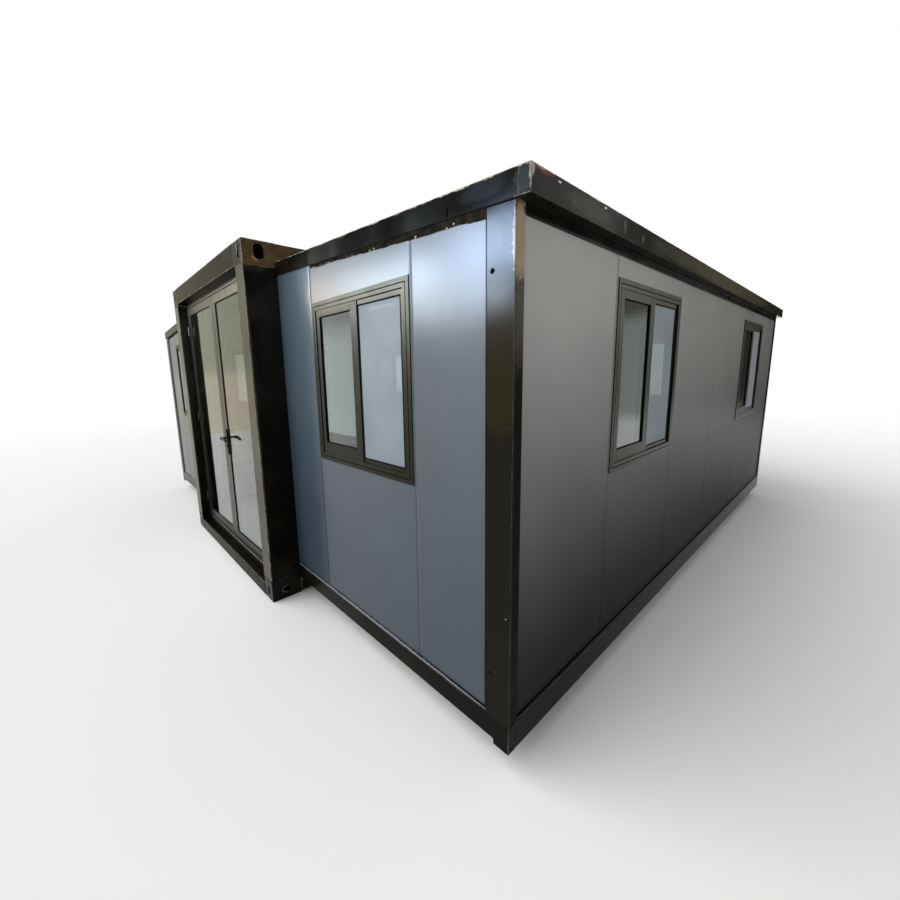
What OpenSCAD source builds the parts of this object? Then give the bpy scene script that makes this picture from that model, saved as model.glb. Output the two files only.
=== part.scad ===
// Expandable container house: a steel-framed core box with a folded-out room on each long side.
// Millimetres. X to the right, Y to the back, Z up, origin on the ground under the middle of the house.

/* [Core frame] */
// Length of the core box, front to back
core_len = 5900; // [5000:10:7000]
// Width of the core box
core_w = 2200; // [2000:10:2400]
// Height of the core box
core_h = 2590; // [2400:5:2800]
// Width of a core corner post, seen from the end
post_w = 148; // [120:1:180]
// Height of a corner casting
casting_h = 160; // [140:1:180]
// Wall of a corner casting
casting_t = 12; // [8:1:16]
// Height of the beam over each end
header_h = 146; // [120:1:160]
// Height of the sill beam under each end
sill_h = 107; // [80:1:115]
// Width of the core's side rails
rail_w = 70; // [50:1:90]
// Height of the core's top side rails
top_rail_h = 150; // [120:1:160]
// Height of the core's bottom side rails
bottom_rail_h = 198; // [150:1:205]
// Thickness of the core roof sheet
core_roof_t = 30; // [20:1:40]
// Height of the ribs pressed in the core roof
roof_rib_h = 12; // [6:1:20]
// Spacing of the ribs pressed in the core roof
roof_rib_pitch = 250; // [180:5:400]
// Width of a rib's top
roof_rib_w = 62; // [30:1:80]

/* [Casting holes] */
// Width of the oval hole in a top casting's side, and of the one under a bottom casting
side_hole_w = 68; // [50:1:80]
// Height of the oval hole in a top casting's side, and length of the one under a bottom casting
side_hole_h = 98; // [82:1:104]
// Width of the oval hole in a bottom casting's side
foot_hole_w = 57; // [45:1:80]
// Height of the oval hole in a bottom casting's side
foot_hole_h = 42; // [30:1:60]
// Width of the slot in a casting's end face
end_hole_w = 32; // [20:1:45]
// Height of the slot in a top casting's end face
end_hole_h = 90; // [60:1:104]
// Height of the slot in a bottom casting's end face
foot_slot_h = 68; // [50:1:104]
// Distance of the side holes from the end of the house
side_hole_y = 112; // [90:1:130]
// Distance of the holes' middle from the house's top or bottom
hole_in = 70; // [66:1:80]

/* [Floors] */
// Height of the finished floor above the ground
floor_z = 210; // [195:1:220]
// Thickness of the floor boards and their deck
floor_t = 40; // [30:1:50]
// Width of a floor joist
joist_w = 60; // [40:1:80]
// Number of joists under the core floor
core_joists_n = 7; // [5:1:9]
// Number of joists under each side room
wing_joists_n = 6; // [4:1:8]

/* [Side rooms] */
// Reach of a side room from the core to its outer face
wing_w = 1995; // [1800:5:2200]
// Setback of a side room's end walls from the core's ends
end_setback = 220; // [180:1:260]
// Height of a side room's long floor beam above the ground
wing_base_z = 110; // [90:1:140]
// Height of the long floor beams
side_beam_h = 130; // [100:1:140]
// Height of the end floor beams
end_beam_h = 108; // [80:1:116]
// Thickness of the floor beams
floor_beam_t = 50; // [40:1:60]
// Width of the corner foot under an end beam
corner_foot_w = 82; // [70:1:110]
// Width of an outer corner post, seen from the end
wing_post_w = 122; // [90:1:150]
// Width of an outer corner post, seen from the side
wing_post_d = 56; // [50:1:70]
// Diameter of the hole near the top of an outer corner post
post_hole_d = 20; // [14:1:26]
// Distance of that hole below the core's top
post_hole_drop = 542; // [480:1:640]
// Length of the slot near the foot of an outer corner post
post_slot_l = 28; // [20:1:40]
// Height of that slot, edge to edge
post_slot_h = 9; // [6:1:14]
// Height of that slot's middle above the ground
post_slot_z = 442; // [380:1:500]
// Distance of the hole and the slot from the post's outer face
post_hole_in = 96; // [80:1:98]
// Depth of the holes in posts and roof edges
cut_depth = 22; // [15:1:26]
// Height of the track under the walls
track_h = 16; // [10:1:24]
// Height of the rail over the side walls
head_rail_h = 40; // [30:1:60]

/* [Side roofs] */
// Distance of the roof's outer top edge below the core's top
roof_drop = 240; // [210:5:290]
// Height of the roof's edge, top to underside
roof_t = 90; // [70:1:110]
// Fall of the roof towards its outer edge, in degrees
roof_slope = 3.3; // [2:0.1:4]
// Overhang of the roof past the side wall
roof_overhang = 55; // [50:1:80]
// Thickness of the roof's edge channel
fascia_t = 45; // [30:1:48]
// Step from the edge channel's top down to the roof skin
roof_lip = 8; // [6:1:12]
// Spacing of the ribs pressed in the side roofs
wing_rib_pitch = 300; // [200:5:400]
// Width of such a rib's top
wing_rib_w = 34; // [20:1:60]
// Step from the edge channel's top down to the ribs
rib_lip = 2; // [1:0.5:4]
// Width of the drain slot in an end channel
drain_w = 8; // [6:1:12]
// Height of the drain slot
drain_h = 30; // [20:1:34]
// Height of the drain slot's middle above the roof's underside
drain_up = 22; // [20:1:40]
// Distance of the drain slot from the roof's outer edge
drain_in = 374; // [300:1:450]

/* [Levelling feet] */
// Distance of the feet from the side room's outer face
foot_in = 360; // [250:5:500]
// Diameter of a foot's screw
foot_d = 30; // [20:1:40]
// Diameter of a foot's ground plate
foot_plate_d = 110; // [80:1:140]
// Thickness of a foot's ground plate
foot_plate_t = 10; // [6:1:14]

/* [Wall panels] */
// Thickness of a wall panel
wall_t = 65; // [50:1:80]
// Step from the frame's face back to the panel's face
wall_recess = 8; // [4:1:14]
// Width of a full wall panel
panel_w = 960; // [900:5:1000]
// Joint between two panels
panel_joint = 0.6; // [0.4:0.1:0.8]
// Width of the first panel of a side wall
side_first = 777; // [650:1:850]
// Smallest width of the last panel of a side wall
side_last_min = 200; // [100:10:400]
// Width of the first panel of an end wall, from the core
end_first = 476; // [400:1:520]
// Length of an end wall that tucks in behind the core post
wall_tuck = 30; // [20:1:40]
// Step from the core's back frame to its back wall
back_recess = 20; // [10:1:40]

/* [Windows] */
// Width of a window over its flange
win_w = 940; // [800:5:960]
// Height of a window over its flange
win_h = 965; // [800:5:1000]
// Distance of a window's top below the core's top
win_drop = 465; // [420:5:560]
// Width of the flange that laps the wall
flange_w = 22; // [16:1:26]
// Distance that the flange stands out from the wall
flange_t = 6; // [4:0.5:10]
// Width of the groove between the flange and the frame's bars
groove_w = 5; // [3:0.5:6]
// Depth of that groove
groove_d = 3.5; // [2:0.5:3.5]
// Width of a window frame's bars inside the flange
win_bar = 24; // [20:1:32]
// Thickness of the lip in front of the outer sash
lip_t = 5; // [4:0.5:7]
// Depth of a sash's track
track_d = 10; // [6:1:14]
// Thickness of the fins beside the tracks
fin_t = 3; // [2:0.5:4]
// Width of a sash's outer side bar and top bar
sash_bar = 48; // [42:1:56]
// Width of a sash's meeting bar
meet_bar = 64; // [50:1:70]
// Height of a sash's bottom bar
sash_foot = 75; // [60:1:85]
// Thickness of a sash
sash_t = 24; // [18:1:27]
// Clearance of a sash in its track, front and back
sash_gap = 0.4; // [0.2:0.1:0.8]
// Clearance of a sash over its top and beside it
sash_room = 3; // [2:0.5:5]
// Thickness of a window's glass
win_glass_t = 6; // [4:1:10]

/* [Door] */
// Depth of the door leaves behind the core's front face
door_recess = 80; // [65:1:110]
// Width of the door frame's bars
door_frame_w = 45; // [35:1:60]
// Depth of the door frame
door_frame_d = 70; // [58:1:90]
// Height of the threshold
threshold_h = 40; // [30:1:50]
// Height of the bevel along the threshold's front
nosing = 8; // [4:1:14]
// Width of the stop that the leaves close against
stop_w = 16; // [12:1:24]
// Clearance between a closed leaf and the stop
stop_gap = 5; // [5:0.5:6]
// Thickness of a door leaf
leaf_t = 55; // [52:1:58]
// Width of a leaf's side bars and top bar
leaf_bar = 70; // [64:1:90]
// Height of a leaf's bottom bar
leaf_foot = 90; // [80:1:120]
// Width of the inner beads that hold the glass in its rebate
bead_w = 16; // [10:1:20]
// Bevel of the beads
bead_bevel = 6; // [3:1:8]
// Gap round the leaves
leaf_gap = 6; // [5:0.5:8]
// Gap between the two leaves
meeting_gap = 8; // [7:0.5:12]
// Thickness of a leaf's glass
door_glass_t = 12; // [8:1:14]
// Depth of the glass behind the leaf's face
glass_inset = 7; // [5:1:14]
// Clearance round a sheet of glass
glass_gap = 0.3; // [0.2:0.1:0.6]

/* [Hinges and handle] */
// Diameter of a hinge barrel
barrel_d = 18; // [14:1:19]
// Length of half a hinge barrel
barrel_l = 45; // [30:1:60]
// Distance of the outer hinges from the leaf's ends
hinge_end = 230; // [150:5:300]
// Diameter of a hinge pin
pin_d = 8; // [6:0.5:10]
// Solid cap over a hinge pin
hinge_cap = 8; // [5:1:12]
// Radial clearance of pins and spindles
run_gap = 0.08; // [0.05:0.01:0.1]
// Distance of the hinge axis in front of the leaf
axis_out = 10; // [10:0.5:14]
// Reach of a hinge plate over the leaf or frame
hinge_plate_w = 34; // [28:1:40]
// Thickness of a hinge plate
hinge_plate_t = 5; // [3:0.5:7]
// Height of the handle above the ground
lever_z = 1140; // [1000:5:1250]
// Diameter of the handle's neck
neck_d = 18; // [14:1:22]
// Length of the straight part of the handle's grip
grip_l = 86; // [60:1:110]
// Height of the grip
grip_h = 24; // [18:1:28]
// Thickness of the grip
grip_t = 14; // [10:1:18]
// Angle that the grip's end turns down, in degrees
grip_turn = 24; // [10:1:35]
// Radius of that turn
grip_turn_r = 110; // [80:1:130]
// Distance of the grip's outer face from its plate
grip_out = 52; // [40:1:60]
// Width of a handle plate
plate_w = 40; // [30:1:46]
// Height of a handle plate
plate_h = 240; // [200:5:260]
// Height of a handle plate above the handle
plate_rise = 80; // [50:1:100]
// Thickness of a handle plate
plate_t = 8; // [6:1:12]
// Corner radius of a handle plate
plate_r = 10; // [4:1:14]
// Diameter of the spindle inside the leaf
spindle_d = 12; // [10:1:14]
// Clearance of the spindle inside the leaf
spindle_room = 5; // [5:0.5:7]
// Diameter of the lock cylinder
lock_d = 24; // [18:1:28]
// Distance of the lock below the handle
lock_drop = 78; // [60:1:90]
// Distance that the lock stands out from its plate
lock_out = 6; // [3:1:10]

/* [Floor hinges] */
// Diameter of a floor hinge's barrel
floor_barrel_d = 34; // [24:1:40]
// Length of a floor hinge's barrel
floor_barrel_l = 46; // [30:1:60]

/* [Hidden] */
$fn = 48;
eps = 0.1;
seat = 0.3;

core_x = core_w / 2;
core_y = core_len / 2;
wing_x = core_x + wing_w;
wing_y = core_y - end_setback;
roof_x = wing_x + roof_overhang;
post_d = end_setback + wall_recess;
post_in = core_x - post_w;
beam_top_z = wing_base_z + side_beam_h;
end_beam_z = beam_top_z - end_beam_h;
wall_z = beam_top_z + track_h;
post_x = wing_x - wing_post_w;
header_z = core_h - header_h;
roof_edge_z = core_h - roof_drop;
fall = tan(roof_slope);

door_y = -core_y + door_recess;
leaf_z0 = sill_h + threshold_h + leaf_gap;
leaf_z1 = header_z - door_frame_w - leaf_gap;
jamb_x = post_in - door_frame_w;
leaf_w = jamb_x - leaf_gap - meeting_gap / 2;
axis_x = jamb_x - leaf_gap / 2;
axis_y = door_y - axis_out;
hinge_zs = [leaf_z0 + hinge_end, (leaf_z0 + leaf_z1) / 2, leaf_z1 - hinge_end];
lever_x = (meeting_gap + leaf_bar) / 2;
stop_y = door_y + leaf_t + stop_gap;
rebate = leaf_bar - bead_w;
glass_y = door_y + glass_inset + glass_gap;

win_z = core_h - win_drop - win_h;
open_w = win_w - 2 * flange_w;
open_h = win_h - 2 * flange_w;
open_z0 = win_z + flange_w;
open_z1 = open_z0 + open_h;
track_z = win_bar - track_d;
track_w = sash_t + 2 * sash_gap;
lip_y = lip_t - flange_t;
back_lip_y = lip_y + 2 * track_w + fin_t;
frame_back_y = max(wall_t, back_lip_y + fin_t);
clear_w = open_w - 2 * track_z;
sash_w = (clear_w + meet_bar) / 2 - sash_room;
sash_h = open_h - 2 * track_z - seat - sash_room;
end_p1 = core_x + end_first;
end_p2 = end_p1 + panel_w;
side_y0 = -wing_y + wing_post_d;
side_n = floor((-2 * side_y0 - side_first - side_last_min) / panel_w);
side_edges = concat([side_y0], [for (i = [0 : side_n]) side_y0 + side_first + i * panel_w], [-side_y0]);
side_windows = [1, side_n];

black = "#15140f";
slate = "#4b5560";
bronze = "#57534a";
board = "#8a8378";
steel = "#8d8f8e";
pane = [0.45, 0.5, 0.52, 0.4];

// Height of the side roof's top and underside at a distance x from the middle of the house
function roof_top(x) = roof_edge_z + (roof_x - x) * fall;
function roof_under(x) = roof_top(x) - roof_t;

// Height at which a post or wall ends under the roof
function roof_seat(x) = roof_under(x) - seat;

// Box between two corners
module block(a, b) translate(a) cube(b - a);

// Slab in the XZ plane with a sloping top, from depth y0 to y1
module sloped(x0, x1, y0, y1, z0, za, zb)
    translate([0, y1, 0])
        rotate([90, 0, 0])
            linear_extrude(y1 - y0)
                polygon([[x0, z0], [x1, z0], [x1, zb], [x0, za]]);

// Copies to both ends, both sides and all four corners
module both_ends() {
    children();
    mirror([0, 1, 0]) children();
}
module both_sides() {
    children();
    mirror([1, 0, 0]) children();
}
module corners() both_sides() both_ends() children();

// A wall's own frame: x to the right and y inwards as seen from outside
module on_right_side() translate([wing_x - wall_recess, 0, 0]) rotate(90) children();
module on_front() translate([0, -wing_y + wall_recess, 0]) children();

// Oval prism along Z, w wide on X and h long on Y
module oval(w, h, depth) {
    d = min(w, h);
    rotate(w > h ? 90 : 0)
        linear_extrude(depth)
            union() {
                square([d, abs(h - w)], center = true);
                for (s = [-1, 1]) translate([0, s * (h - w) / 2]) circle(d = d);
            }
}

// Hollow corner casting of the right front corner on its outer face, given its side hole and end slot
module casting(side_w, side_h, slot_h) difference() {
    depth = casting_t + 2 * eps;
    block([post_in, -core_y, 0], [core_x, -core_y + post_d, casting_h]);
    block([post_in + casting_t, -core_y + casting_t, casting_t],
          [core_x - casting_t, -core_y + post_d - casting_t, casting_h - casting_t]);
    translate([core_x - casting_t - eps, -core_y + side_hole_y, hole_in])
        rotate([90, 0, 90]) oval(side_w, side_h, depth);
    translate([core_x - post_w / 2, -core_y + casting_t + eps, hole_in])
        rotate([90, 0, 0]) oval(end_hole_w, slot_h, depth);
}

module core_posts() color(black)
    corners() block([post_in, -core_y, casting_h], [core_x, -core_y + post_d, core_h - casting_h]);

module top_castings() color(black)
    translate([0, 0, core_h]) mirror([0, 0, 1])
        corners() casting(side_hole_w, side_hole_h, end_hole_h);

// Bottom castings, each with a slot underneath for a lock
module bottom_castings() color(black)
    corners() difference() {
        casting(foot_hole_w, foot_hole_h, foot_slot_h);
        translate([core_x - post_w / 2, -core_y + side_hole_y, -eps])
            oval(side_hole_w, side_hole_h, casting_t + 2 * eps);
    }

module top_end_beams() color(black)
    both_ends() block([-post_in, -core_y, header_z], [post_in, -core_y + post_d, core_h]);

module bottom_end_beams() color(black)
    both_ends() block([-post_in, -core_y, 0], [post_in, -core_y + post_d, sill_h]);

module side_rails(z0, z1)
    both_sides() block([core_x - rail_w, -core_y + post_d, z0], [core_x, core_y - post_d, z1]);

module top_side_rails() color(black) side_rails(core_h - top_rail_h, core_h);

module bottom_side_rails() color(black) side_rails(floor_z - bottom_rail_h, floor_z);

// Floor of the core, with tongues that reach the door frame and the back wall between the posts
module core_floor() color(board)
    translate([0, 0, floor_z - floor_t])
        linear_extrude(floor_t)
            union() {
                square([2 * (core_x - rail_w), 2 * (core_y - post_d)], center = true);
                translate([-post_in, door_y + door_frame_d])
                    square([2 * post_in, core_y - back_recess - wall_t - door_y - door_frame_d]);
            }

// Row of joists between two ends, spread evenly along Y
module joists(n, x0, x1, y, z0, z1)
    for (i = [0 : n - 1]) {
        yi = -y + joist_w / 2 + i * (2 * y - joist_w) / (n - 1);
        block([x0, yi - joist_w / 2, z0], [x1, yi + joist_w / 2, z1]);
    }

module core_joists() color(black)
    joists(core_joists_n, -core_x + rail_w, core_x - rail_w, core_y - post_d,
           floor_z - bottom_rail_h, floor_z - floor_t);

// Pressed ribs along X, l long, spread between -half and half on Y; each flank is half a top wide
module pressed_ribs(l, half, pitch, w, h) {
    n = floor((2 * half - pitch) / pitch / 2);
    for (i = [-n : n])
        translate([0, i * pitch, -eps])
            rotate([90, 0, 90])
                linear_extrude(l)
                    polygon([[-w, 0], [w, 0], [w / 2, h], [-w / 2, h]]);
}

// Roof sheet of the core with ribs across it, set down between the rails
module core_roof() color(black) {
    half_l = core_y - post_d;
    half_w = core_x - rail_w;
    sheet_z = core_h - roof_rib_h - core_roof_t;
    union() {
        block([-half_w, -half_l, sheet_z], [half_w, half_l, sheet_z + core_roof_t]);
        translate([-half_w, 0, sheet_z + core_roof_t])
            pressed_ribs(2 * half_w, half_l, roof_rib_pitch, roof_rib_w, roof_rib_h);
    }
}

module core_back_wall() color(slate)
    both_sides() {
        y = core_y - back_recess;
        block([panel_joint / 2, y - wall_t, sill_h], [post_in, y, header_z]);
    }

// Bar between the jambs, from an outline with Y to the back and Z up
module between_jambs()
    translate([-jamb_x + seat, 0, 0])
        rotate([90, 0, 90])
            linear_extrude(2 * (jamb_x - seat)) children();

// Frame of the double door: jambs, head and threshold, with a stop all round behind the leaves
module door_frame() color(bronze) {
    y1 = door_y + door_frame_d;
    foot = sill_h + threshold_h;
    head = header_z - door_frame_w;
    both_sides() union() {
        block([jamb_x, door_y, sill_h], [post_in, y1, header_z]);
        block([jamb_x - stop_w, stop_y, foot + stop_w + seat], [jamb_x + eps, y1, head - stop_w - seat]);
    }
    between_jambs()
        polygon([[door_y, sill_h], [y1, sill_h], [y1, foot + stop_w], [stop_y, foot + stop_w],
                 [stop_y, foot], [door_y + nosing, foot], [door_y, foot - nosing]]);
    between_jambs()
        polygon([[door_y, head], [stop_y, head], [stop_y, head - stop_w], [y1, head - stop_w],
                 [y1, header_z], [door_y, header_z]]);
}

// Half of a lift-off hinge on the right jamb, with its pin standing up through the barrel's joint
module hinge_pin_half() {
    translate([0, 0, -barrel_l]) cylinder(d = barrel_d, h = barrel_l);
    cylinder(d = pin_d, h = barrel_l - hinge_cap - seat);
    block([0, axis_out - hinge_plate_t, -barrel_l], [hinge_plate_w, axis_out, 0]);
}

// The other half, on the leaf, bored for the pin
module hinge_leaf_half() difference() {
    union() {
        translate([0, 0, seat]) cylinder(d = barrel_d, h = barrel_l);
        block([-hinge_plate_w, axis_out - hinge_plate_t, seat], [0, axis_out, seat + barrel_l]);
    }
    cylinder(d = pin_d + 2 * run_gap, h = barrel_l - hinge_cap);
}

module at_hinges() for (z = hinge_zs) translate([axis_x, axis_y, z]) children();

module door_hinge_pins() color(bronze) both_sides() at_hinges() hinge_pin_half();

module right_door_hinges() color(bronze) at_hinges() hinge_leaf_half();

module left_door_hinges() color(bronze) mirror([1, 0, 0]) right_door_hinges();

// Copies at the hinge side and, turned round, at the meeting side of the right leaf
module leaf_sides() {
    children();
    translate([meeting_gap + leaf_w, 0, 0]) mirror([1, 0, 0]) children();
}

// Upright of the right leaf at its meeting side, with a rebate for the glass on its inner face
module leaf_upright()
    translate([meeting_gap / 2, door_y, leaf_z0])
        linear_extrude(leaf_z1 - leaf_z0)
            polygon([[0, 0], [leaf_bar, 0], [leaf_bar, glass_inset], [rebate, glass_inset],
                     [rebate, leaf_t], [0, leaf_t]]);

// Rail of the right leaf, lying on Z 0 with its glass above, coped round the uprights' rebates
module leaf_rail(h) {
    x0 = meeting_gap / 2;
    x1 = x0 + leaf_w;
    y0 = door_y + glass_inset;
    union() {
        block([x0 + leaf_bar + seat, door_y, 0], [x1 - leaf_bar - seat, y0, h]);
        block([x0 + leaf_bar + seat, y0 - eps, 0], [x1 - leaf_bar - seat, door_y + leaf_t, h - bead_w]);
        leaf_sides()
            block([x0 + rebate + seat, y0 + seat, 0],
                  [x0 + leaf_bar + 2 * seat, door_y + leaf_t, h - bead_w]);
    }
}

// Ring of four bevelled beads behind the glass of the right leaf
module leaf_beads() {
    x0 = meeting_gap / 2 + rebate + seat;
    x1 = meeting_gap / 2 + leaf_w - rebate - seat;
    z0 = leaf_z0 + leaf_foot - bead_w + seat;
    z1 = leaf_z1 - rebate - seat;
    y0 = glass_y + door_glass_t + seat;
    depth = door_y + leaf_t - y0;
    outline = [[0, 0], [bead_w, 0], [bead_w, depth - bead_bevel],
               [bead_w - bead_bevel, depth], [0, depth]];
    leaf_sides() translate([x0, y0, z0]) linear_extrude(z1 - z0) polygon(outline);
    for (s = [0, 1])
        translate([x0 + bead_w + seat, y0, s * (z0 + z1)]) mirror([0, 0, s]) translate([0, 0, z0])
            multmatrix([[0, 0, 1, 0], [0, 1, 0, 0], [1, 0, 0, 0], [0, 0, 0, 1]])
                linear_extrude(x1 - x0 - 2 * (bead_w + seat)) polygon(outline);
}

// Bars and beads of the right leaf
module leaf_bars() {
    leaf_sides() leaf_upright();
    translate([0, 0, leaf_z0]) leaf_rail(leaf_foot);
    translate([0, 0, leaf_z1]) mirror([0, 0, 1]) leaf_rail(leaf_bar);
    leaf_beads();
}

module leaf_glass() {
    x0 = meeting_gap / 2 + rebate + glass_gap;
    x1 = meeting_gap / 2 + leaf_w - rebate - glass_gap;
    block([x0, glass_y, leaf_z0 + leaf_foot - bead_w + glass_gap],
          [x1, glass_y + door_glass_t, leaf_z1 - rebate - glass_gap]);
}

module right_door() color(bronze) difference() {
    leaf_bars();
    translate([lever_x, door_y - eps, lever_z])
        rotate([-90, 0, 0]) cylinder(d = spindle_d + 2 * spindle_room, h = leaf_t + 2 * eps);
}

module left_door() color(bronze) mirror([1, 0, 0]) leaf_bars();

module right_door_glass() color(pane) leaf_glass();

module left_door_glass() color(pane) mirror([1, 0, 0]) leaf_glass();

// Copies to the outer and inner face of the leaf at the handle, with Y away from the leaf
module on_leaf_faces() translate([lever_x, door_y, lever_z]) {
    rotate([0, 0, 180]) mirror([1, 0, 0]) children();
    translate([0, leaf_t, 0]) children();
}

// Rectangle with round corners about the origin
module rounded(w, h, r) union() {
    square([w - 2 * r, h], center = true);
    square([w, h - 2 * r], center = true);
    for (x = [-1, 1], y = [-1, 1]) translate([x * (w / 2 - r), y * (h / 2 - r)]) circle(r = r);
}

// Long handle plates, bored for the handle's neck, each with its lock cylinder
module lever_plates() color(black)
    on_leaf_faces() difference() {
        union() {
            translate([0, plate_t, plate_rise - plate_h / 2])
                rotate([90, 0, 0]) linear_extrude(plate_t) rounded(plate_w, plate_h, plate_r);
            translate([0, 0, -lock_drop])
                rotate([-90, 0, 0]) cylinder(d = lock_d, h = plate_t + lock_out);
        }
        translate([0, -eps, 0])
            rotate([-90, 0, 0]) cylinder(d = neck_d + 2 * run_gap, h = plate_t + 2 * eps);
    }

// Side view of the grip: a straight bar with a round end that turns down, its neck at the origin
module grip_outline() {
    reach = 2 * grip_turn_r;
    circle(d = grip_h);
    translate([0, -grip_h / 2]) square([grip_l, grip_h]);
    translate([grip_l, -grip_turn_r]) {
        intersection() {
            difference() {
                circle(r = grip_turn_r + grip_h / 2, $fn = 180);
                circle(r = grip_turn_r - grip_h / 2, $fn = 180);
            }
            polygon([[-eps, 0], [-eps, reach], [0, reach],
                     [reach * sin(grip_turn), reach * cos(grip_turn)]]);
        }
        rotate(-grip_turn) translate([0, grip_turn_r]) circle(d = grip_h);
    }
}

// Neck and grip of one side of the handle, from the leaf's face
module grip() {
    rotate([-90, 0, 0]) cylinder(d = neck_d, h = plate_t + grip_out - grip_t / 2);
    translate([0, plate_t + grip_out, 0]) rotate([90, 0, 0]) linear_extrude(grip_t) grip_outline();
}

module door_lever() color(black) union() {
    on_leaf_faces() grip();
    translate([lever_x, door_y - eps, lever_z])
        rotate([-90, 0, 0]) cylinder(d = spindle_d, h = leaf_t + 2 * eps);
}

// Floor beams round the side rooms; a corner foot hangs under each end of the end beams
module wing_floor_beams() color(black) {
    corners() {
        y1 = -wing_y + floor_beam_t;
        block([core_x, -wing_y, end_beam_z], [wing_x, y1, beam_top_z]);
        block([wing_x - corner_foot_w, -wing_y, wing_base_z], [wing_x, y1, end_beam_z - seat]);
    }
    both_sides()
        block([wing_x - floor_beam_t, -wing_y + floor_beam_t + seat, wing_base_z],
              [wing_x, wing_y - floor_beam_t - seat, beam_top_z]);
}

module wing_joists() color(black)
    both_sides() joists(wing_joists_n, core_x, wing_x - floor_beam_t, wing_y - floor_beam_t,
                        wing_base_z, floor_z - floor_t);

// Screw feet under all joists but the first and last, each with a round ground plate
module wing_feet() color(steel) {
    y = wing_y - floor_beam_t - joist_w / 2;
    both_sides() for (i = [1 : wing_joists_n - 2])
        translate([wing_x - foot_in, -y + i * 2 * y / (wing_joists_n - 1), 0]) union() {
            cylinder(d = foot_plate_d, h = foot_plate_t);
            cylinder(d = foot_d, h = wing_base_z);
        }
}

module right_floor() color(board)
    block([core_x, -wing_y + floor_beam_t, floor_z - floor_t],
          [wing_x - floor_beam_t, wing_y - floor_beam_t, floor_z]);

module left_floor() color(board) mirror([1, 0, 0]) right_floor();

// Barrels on the core posts that carry the side floors
module floor_hinges() color(black) corners() {
    y1 = -wing_y - seat;
    z = floor_z + floor_barrel_d / 4;
    translate([core_x + floor_barrel_d / 2, y1, z])
        rotate([90, 0, 0]) cylinder(d = floor_barrel_d, h = floor_barrel_l);
    block([core_x, y1 - floor_barrel_l, z - floor_barrel_d / 2], [core_x + floor_barrel_d / 2, y1, z]);
}

// Outer corner posts, each with a hole near its top and a slot near its foot
module wing_corner_posts() color(black) corners() difference() {
    sloped(post_x, wing_x, -wing_y, -wing_y + wing_post_d, beam_top_z,
           roof_seat(post_x), roof_seat(wing_x));
    translate([wing_x - post_hole_in, -wing_y + cut_depth, 0]) {
        translate([0, 0, core_h - post_hole_drop])
            rotate([90, 0, 0]) cylinder(d = post_hole_d, h = cut_depth + eps);
        translate([0, 0, post_slot_z])
            rotate([90, 0, 0]) oval(post_slot_l, post_slot_h, cut_depth + eps);
    }
}

// Tracks under the walls and the rails over the side walls, flush with the frame
module wall_rails() color(black) {
    corners()
        block([core_x, -wing_y, beam_top_z], [post_x, -wing_y + wall_recess + wall_t, wall_z]);
    both_sides() {
        x0 = wing_x - wall_recess - wall_t;
        z0 = roof_under(wing_x) - head_rail_h;
        block([x0, side_y0, beam_top_z], [wing_x, -side_y0, wall_z]);
        sloped(x0, wing_x, side_y0, -side_y0, z0, roof_seat(x0), roof_seat(wing_x));
    }
}

// Panel with a window opening in its middle, as four slabs round the opening
module window_panel(x0, x1, z0, za, zb) {
    mid = (x0 + x1) / 2;
    block([x0, 0, z0], [x1, wall_t, open_z0]);
    sloped(x0, x1, 0, wall_t, open_z1, za, zb);
    for (x = [[x0, mid - open_w / 2], [mid + open_w / 2, x1]])
        block([x[0], 0, open_z0 + seat], [x[1], wall_t, open_z1 - seat]);
}

module side_wall() on_right_side() {
    z1 = roof_under(wing_x) - head_rail_h;
    for (i = [0 : len(side_edges) - 2]) {
        x0 = side_edges[i] + (i == 0 ? 0 : panel_joint / 2);
        x1 = side_edges[i + 1] - (i == len(side_edges) - 2 ? 0 : panel_joint / 2);
        if (search(i, side_windows)) window_panel(x0, x1, wall_z, z1, z1);
        else block([x0, 0, wall_z], [x1, wall_t, z1]);
    }
}

module end_wall() on_front() {
    edge = core_x - wall_tuck;
    j = panel_joint / 2;
    sloped(edge, end_p1 - j, 0, wall_t, wall_z, roof_seat(edge), roof_seat(end_p1 - j));
    window_panel(end_p1 + j, end_p2 - j, wall_z, roof_seat(end_p1 + j), roof_seat(end_p2 - j));
    sloped(end_p2 + j, post_x, 0, wall_t, wall_z, roof_seat(end_p2 + j), roof_seat(post_x));
}

module right_side_wall() color(slate) side_wall();

module left_side_wall() color(slate) mirror([1, 0, 0]) side_wall();

module right_front_wall() color(slate) end_wall();

module right_back_wall() color(slate) mirror([0, 1, 0]) end_wall();

module left_front_wall() color(slate) mirror([1, 0, 0]) end_wall();

module left_back_wall() color(slate) mirror([1, 0, 0]) mirror([0, 1, 0]) end_wall();

// Slab of the side roof between two distances from the middle of the house
module roof_slab(x0, x1, y0, y1, drop)
    translate([0, y1, 0])
        rotate([90, 0, 0])
            linear_extrude(y1 - y0)
                polygon([[x0, roof_under(x0)], [x1, roof_under(x1)],
                         [x1, roof_top(x1) - drop], [x0, roof_top(x0) - drop]]);

// Roof sheet of a side room with ribs down its fall, set down between the edge channels
module right_roof() color(black) {
    half_l = wing_y - fascia_t;
    x1 = roof_x - fascia_t;
    rib_l = (x1 - core_x - 2 * roof_lip) / cos(roof_slope);
    union() {
        roof_slab(core_x, x1, -half_l, half_l, roof_lip);
        translate([core_x + roof_lip, 0, roof_top(core_x + roof_lip) - roof_lip])
            rotate([0, roof_slope, 0])
                pressed_ribs(rib_l, half_l, wing_rib_pitch, wing_rib_w, roof_lip - rib_lip);
    }
}

module left_roof() color(black) mirror([1, 0, 0]) right_roof();

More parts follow.
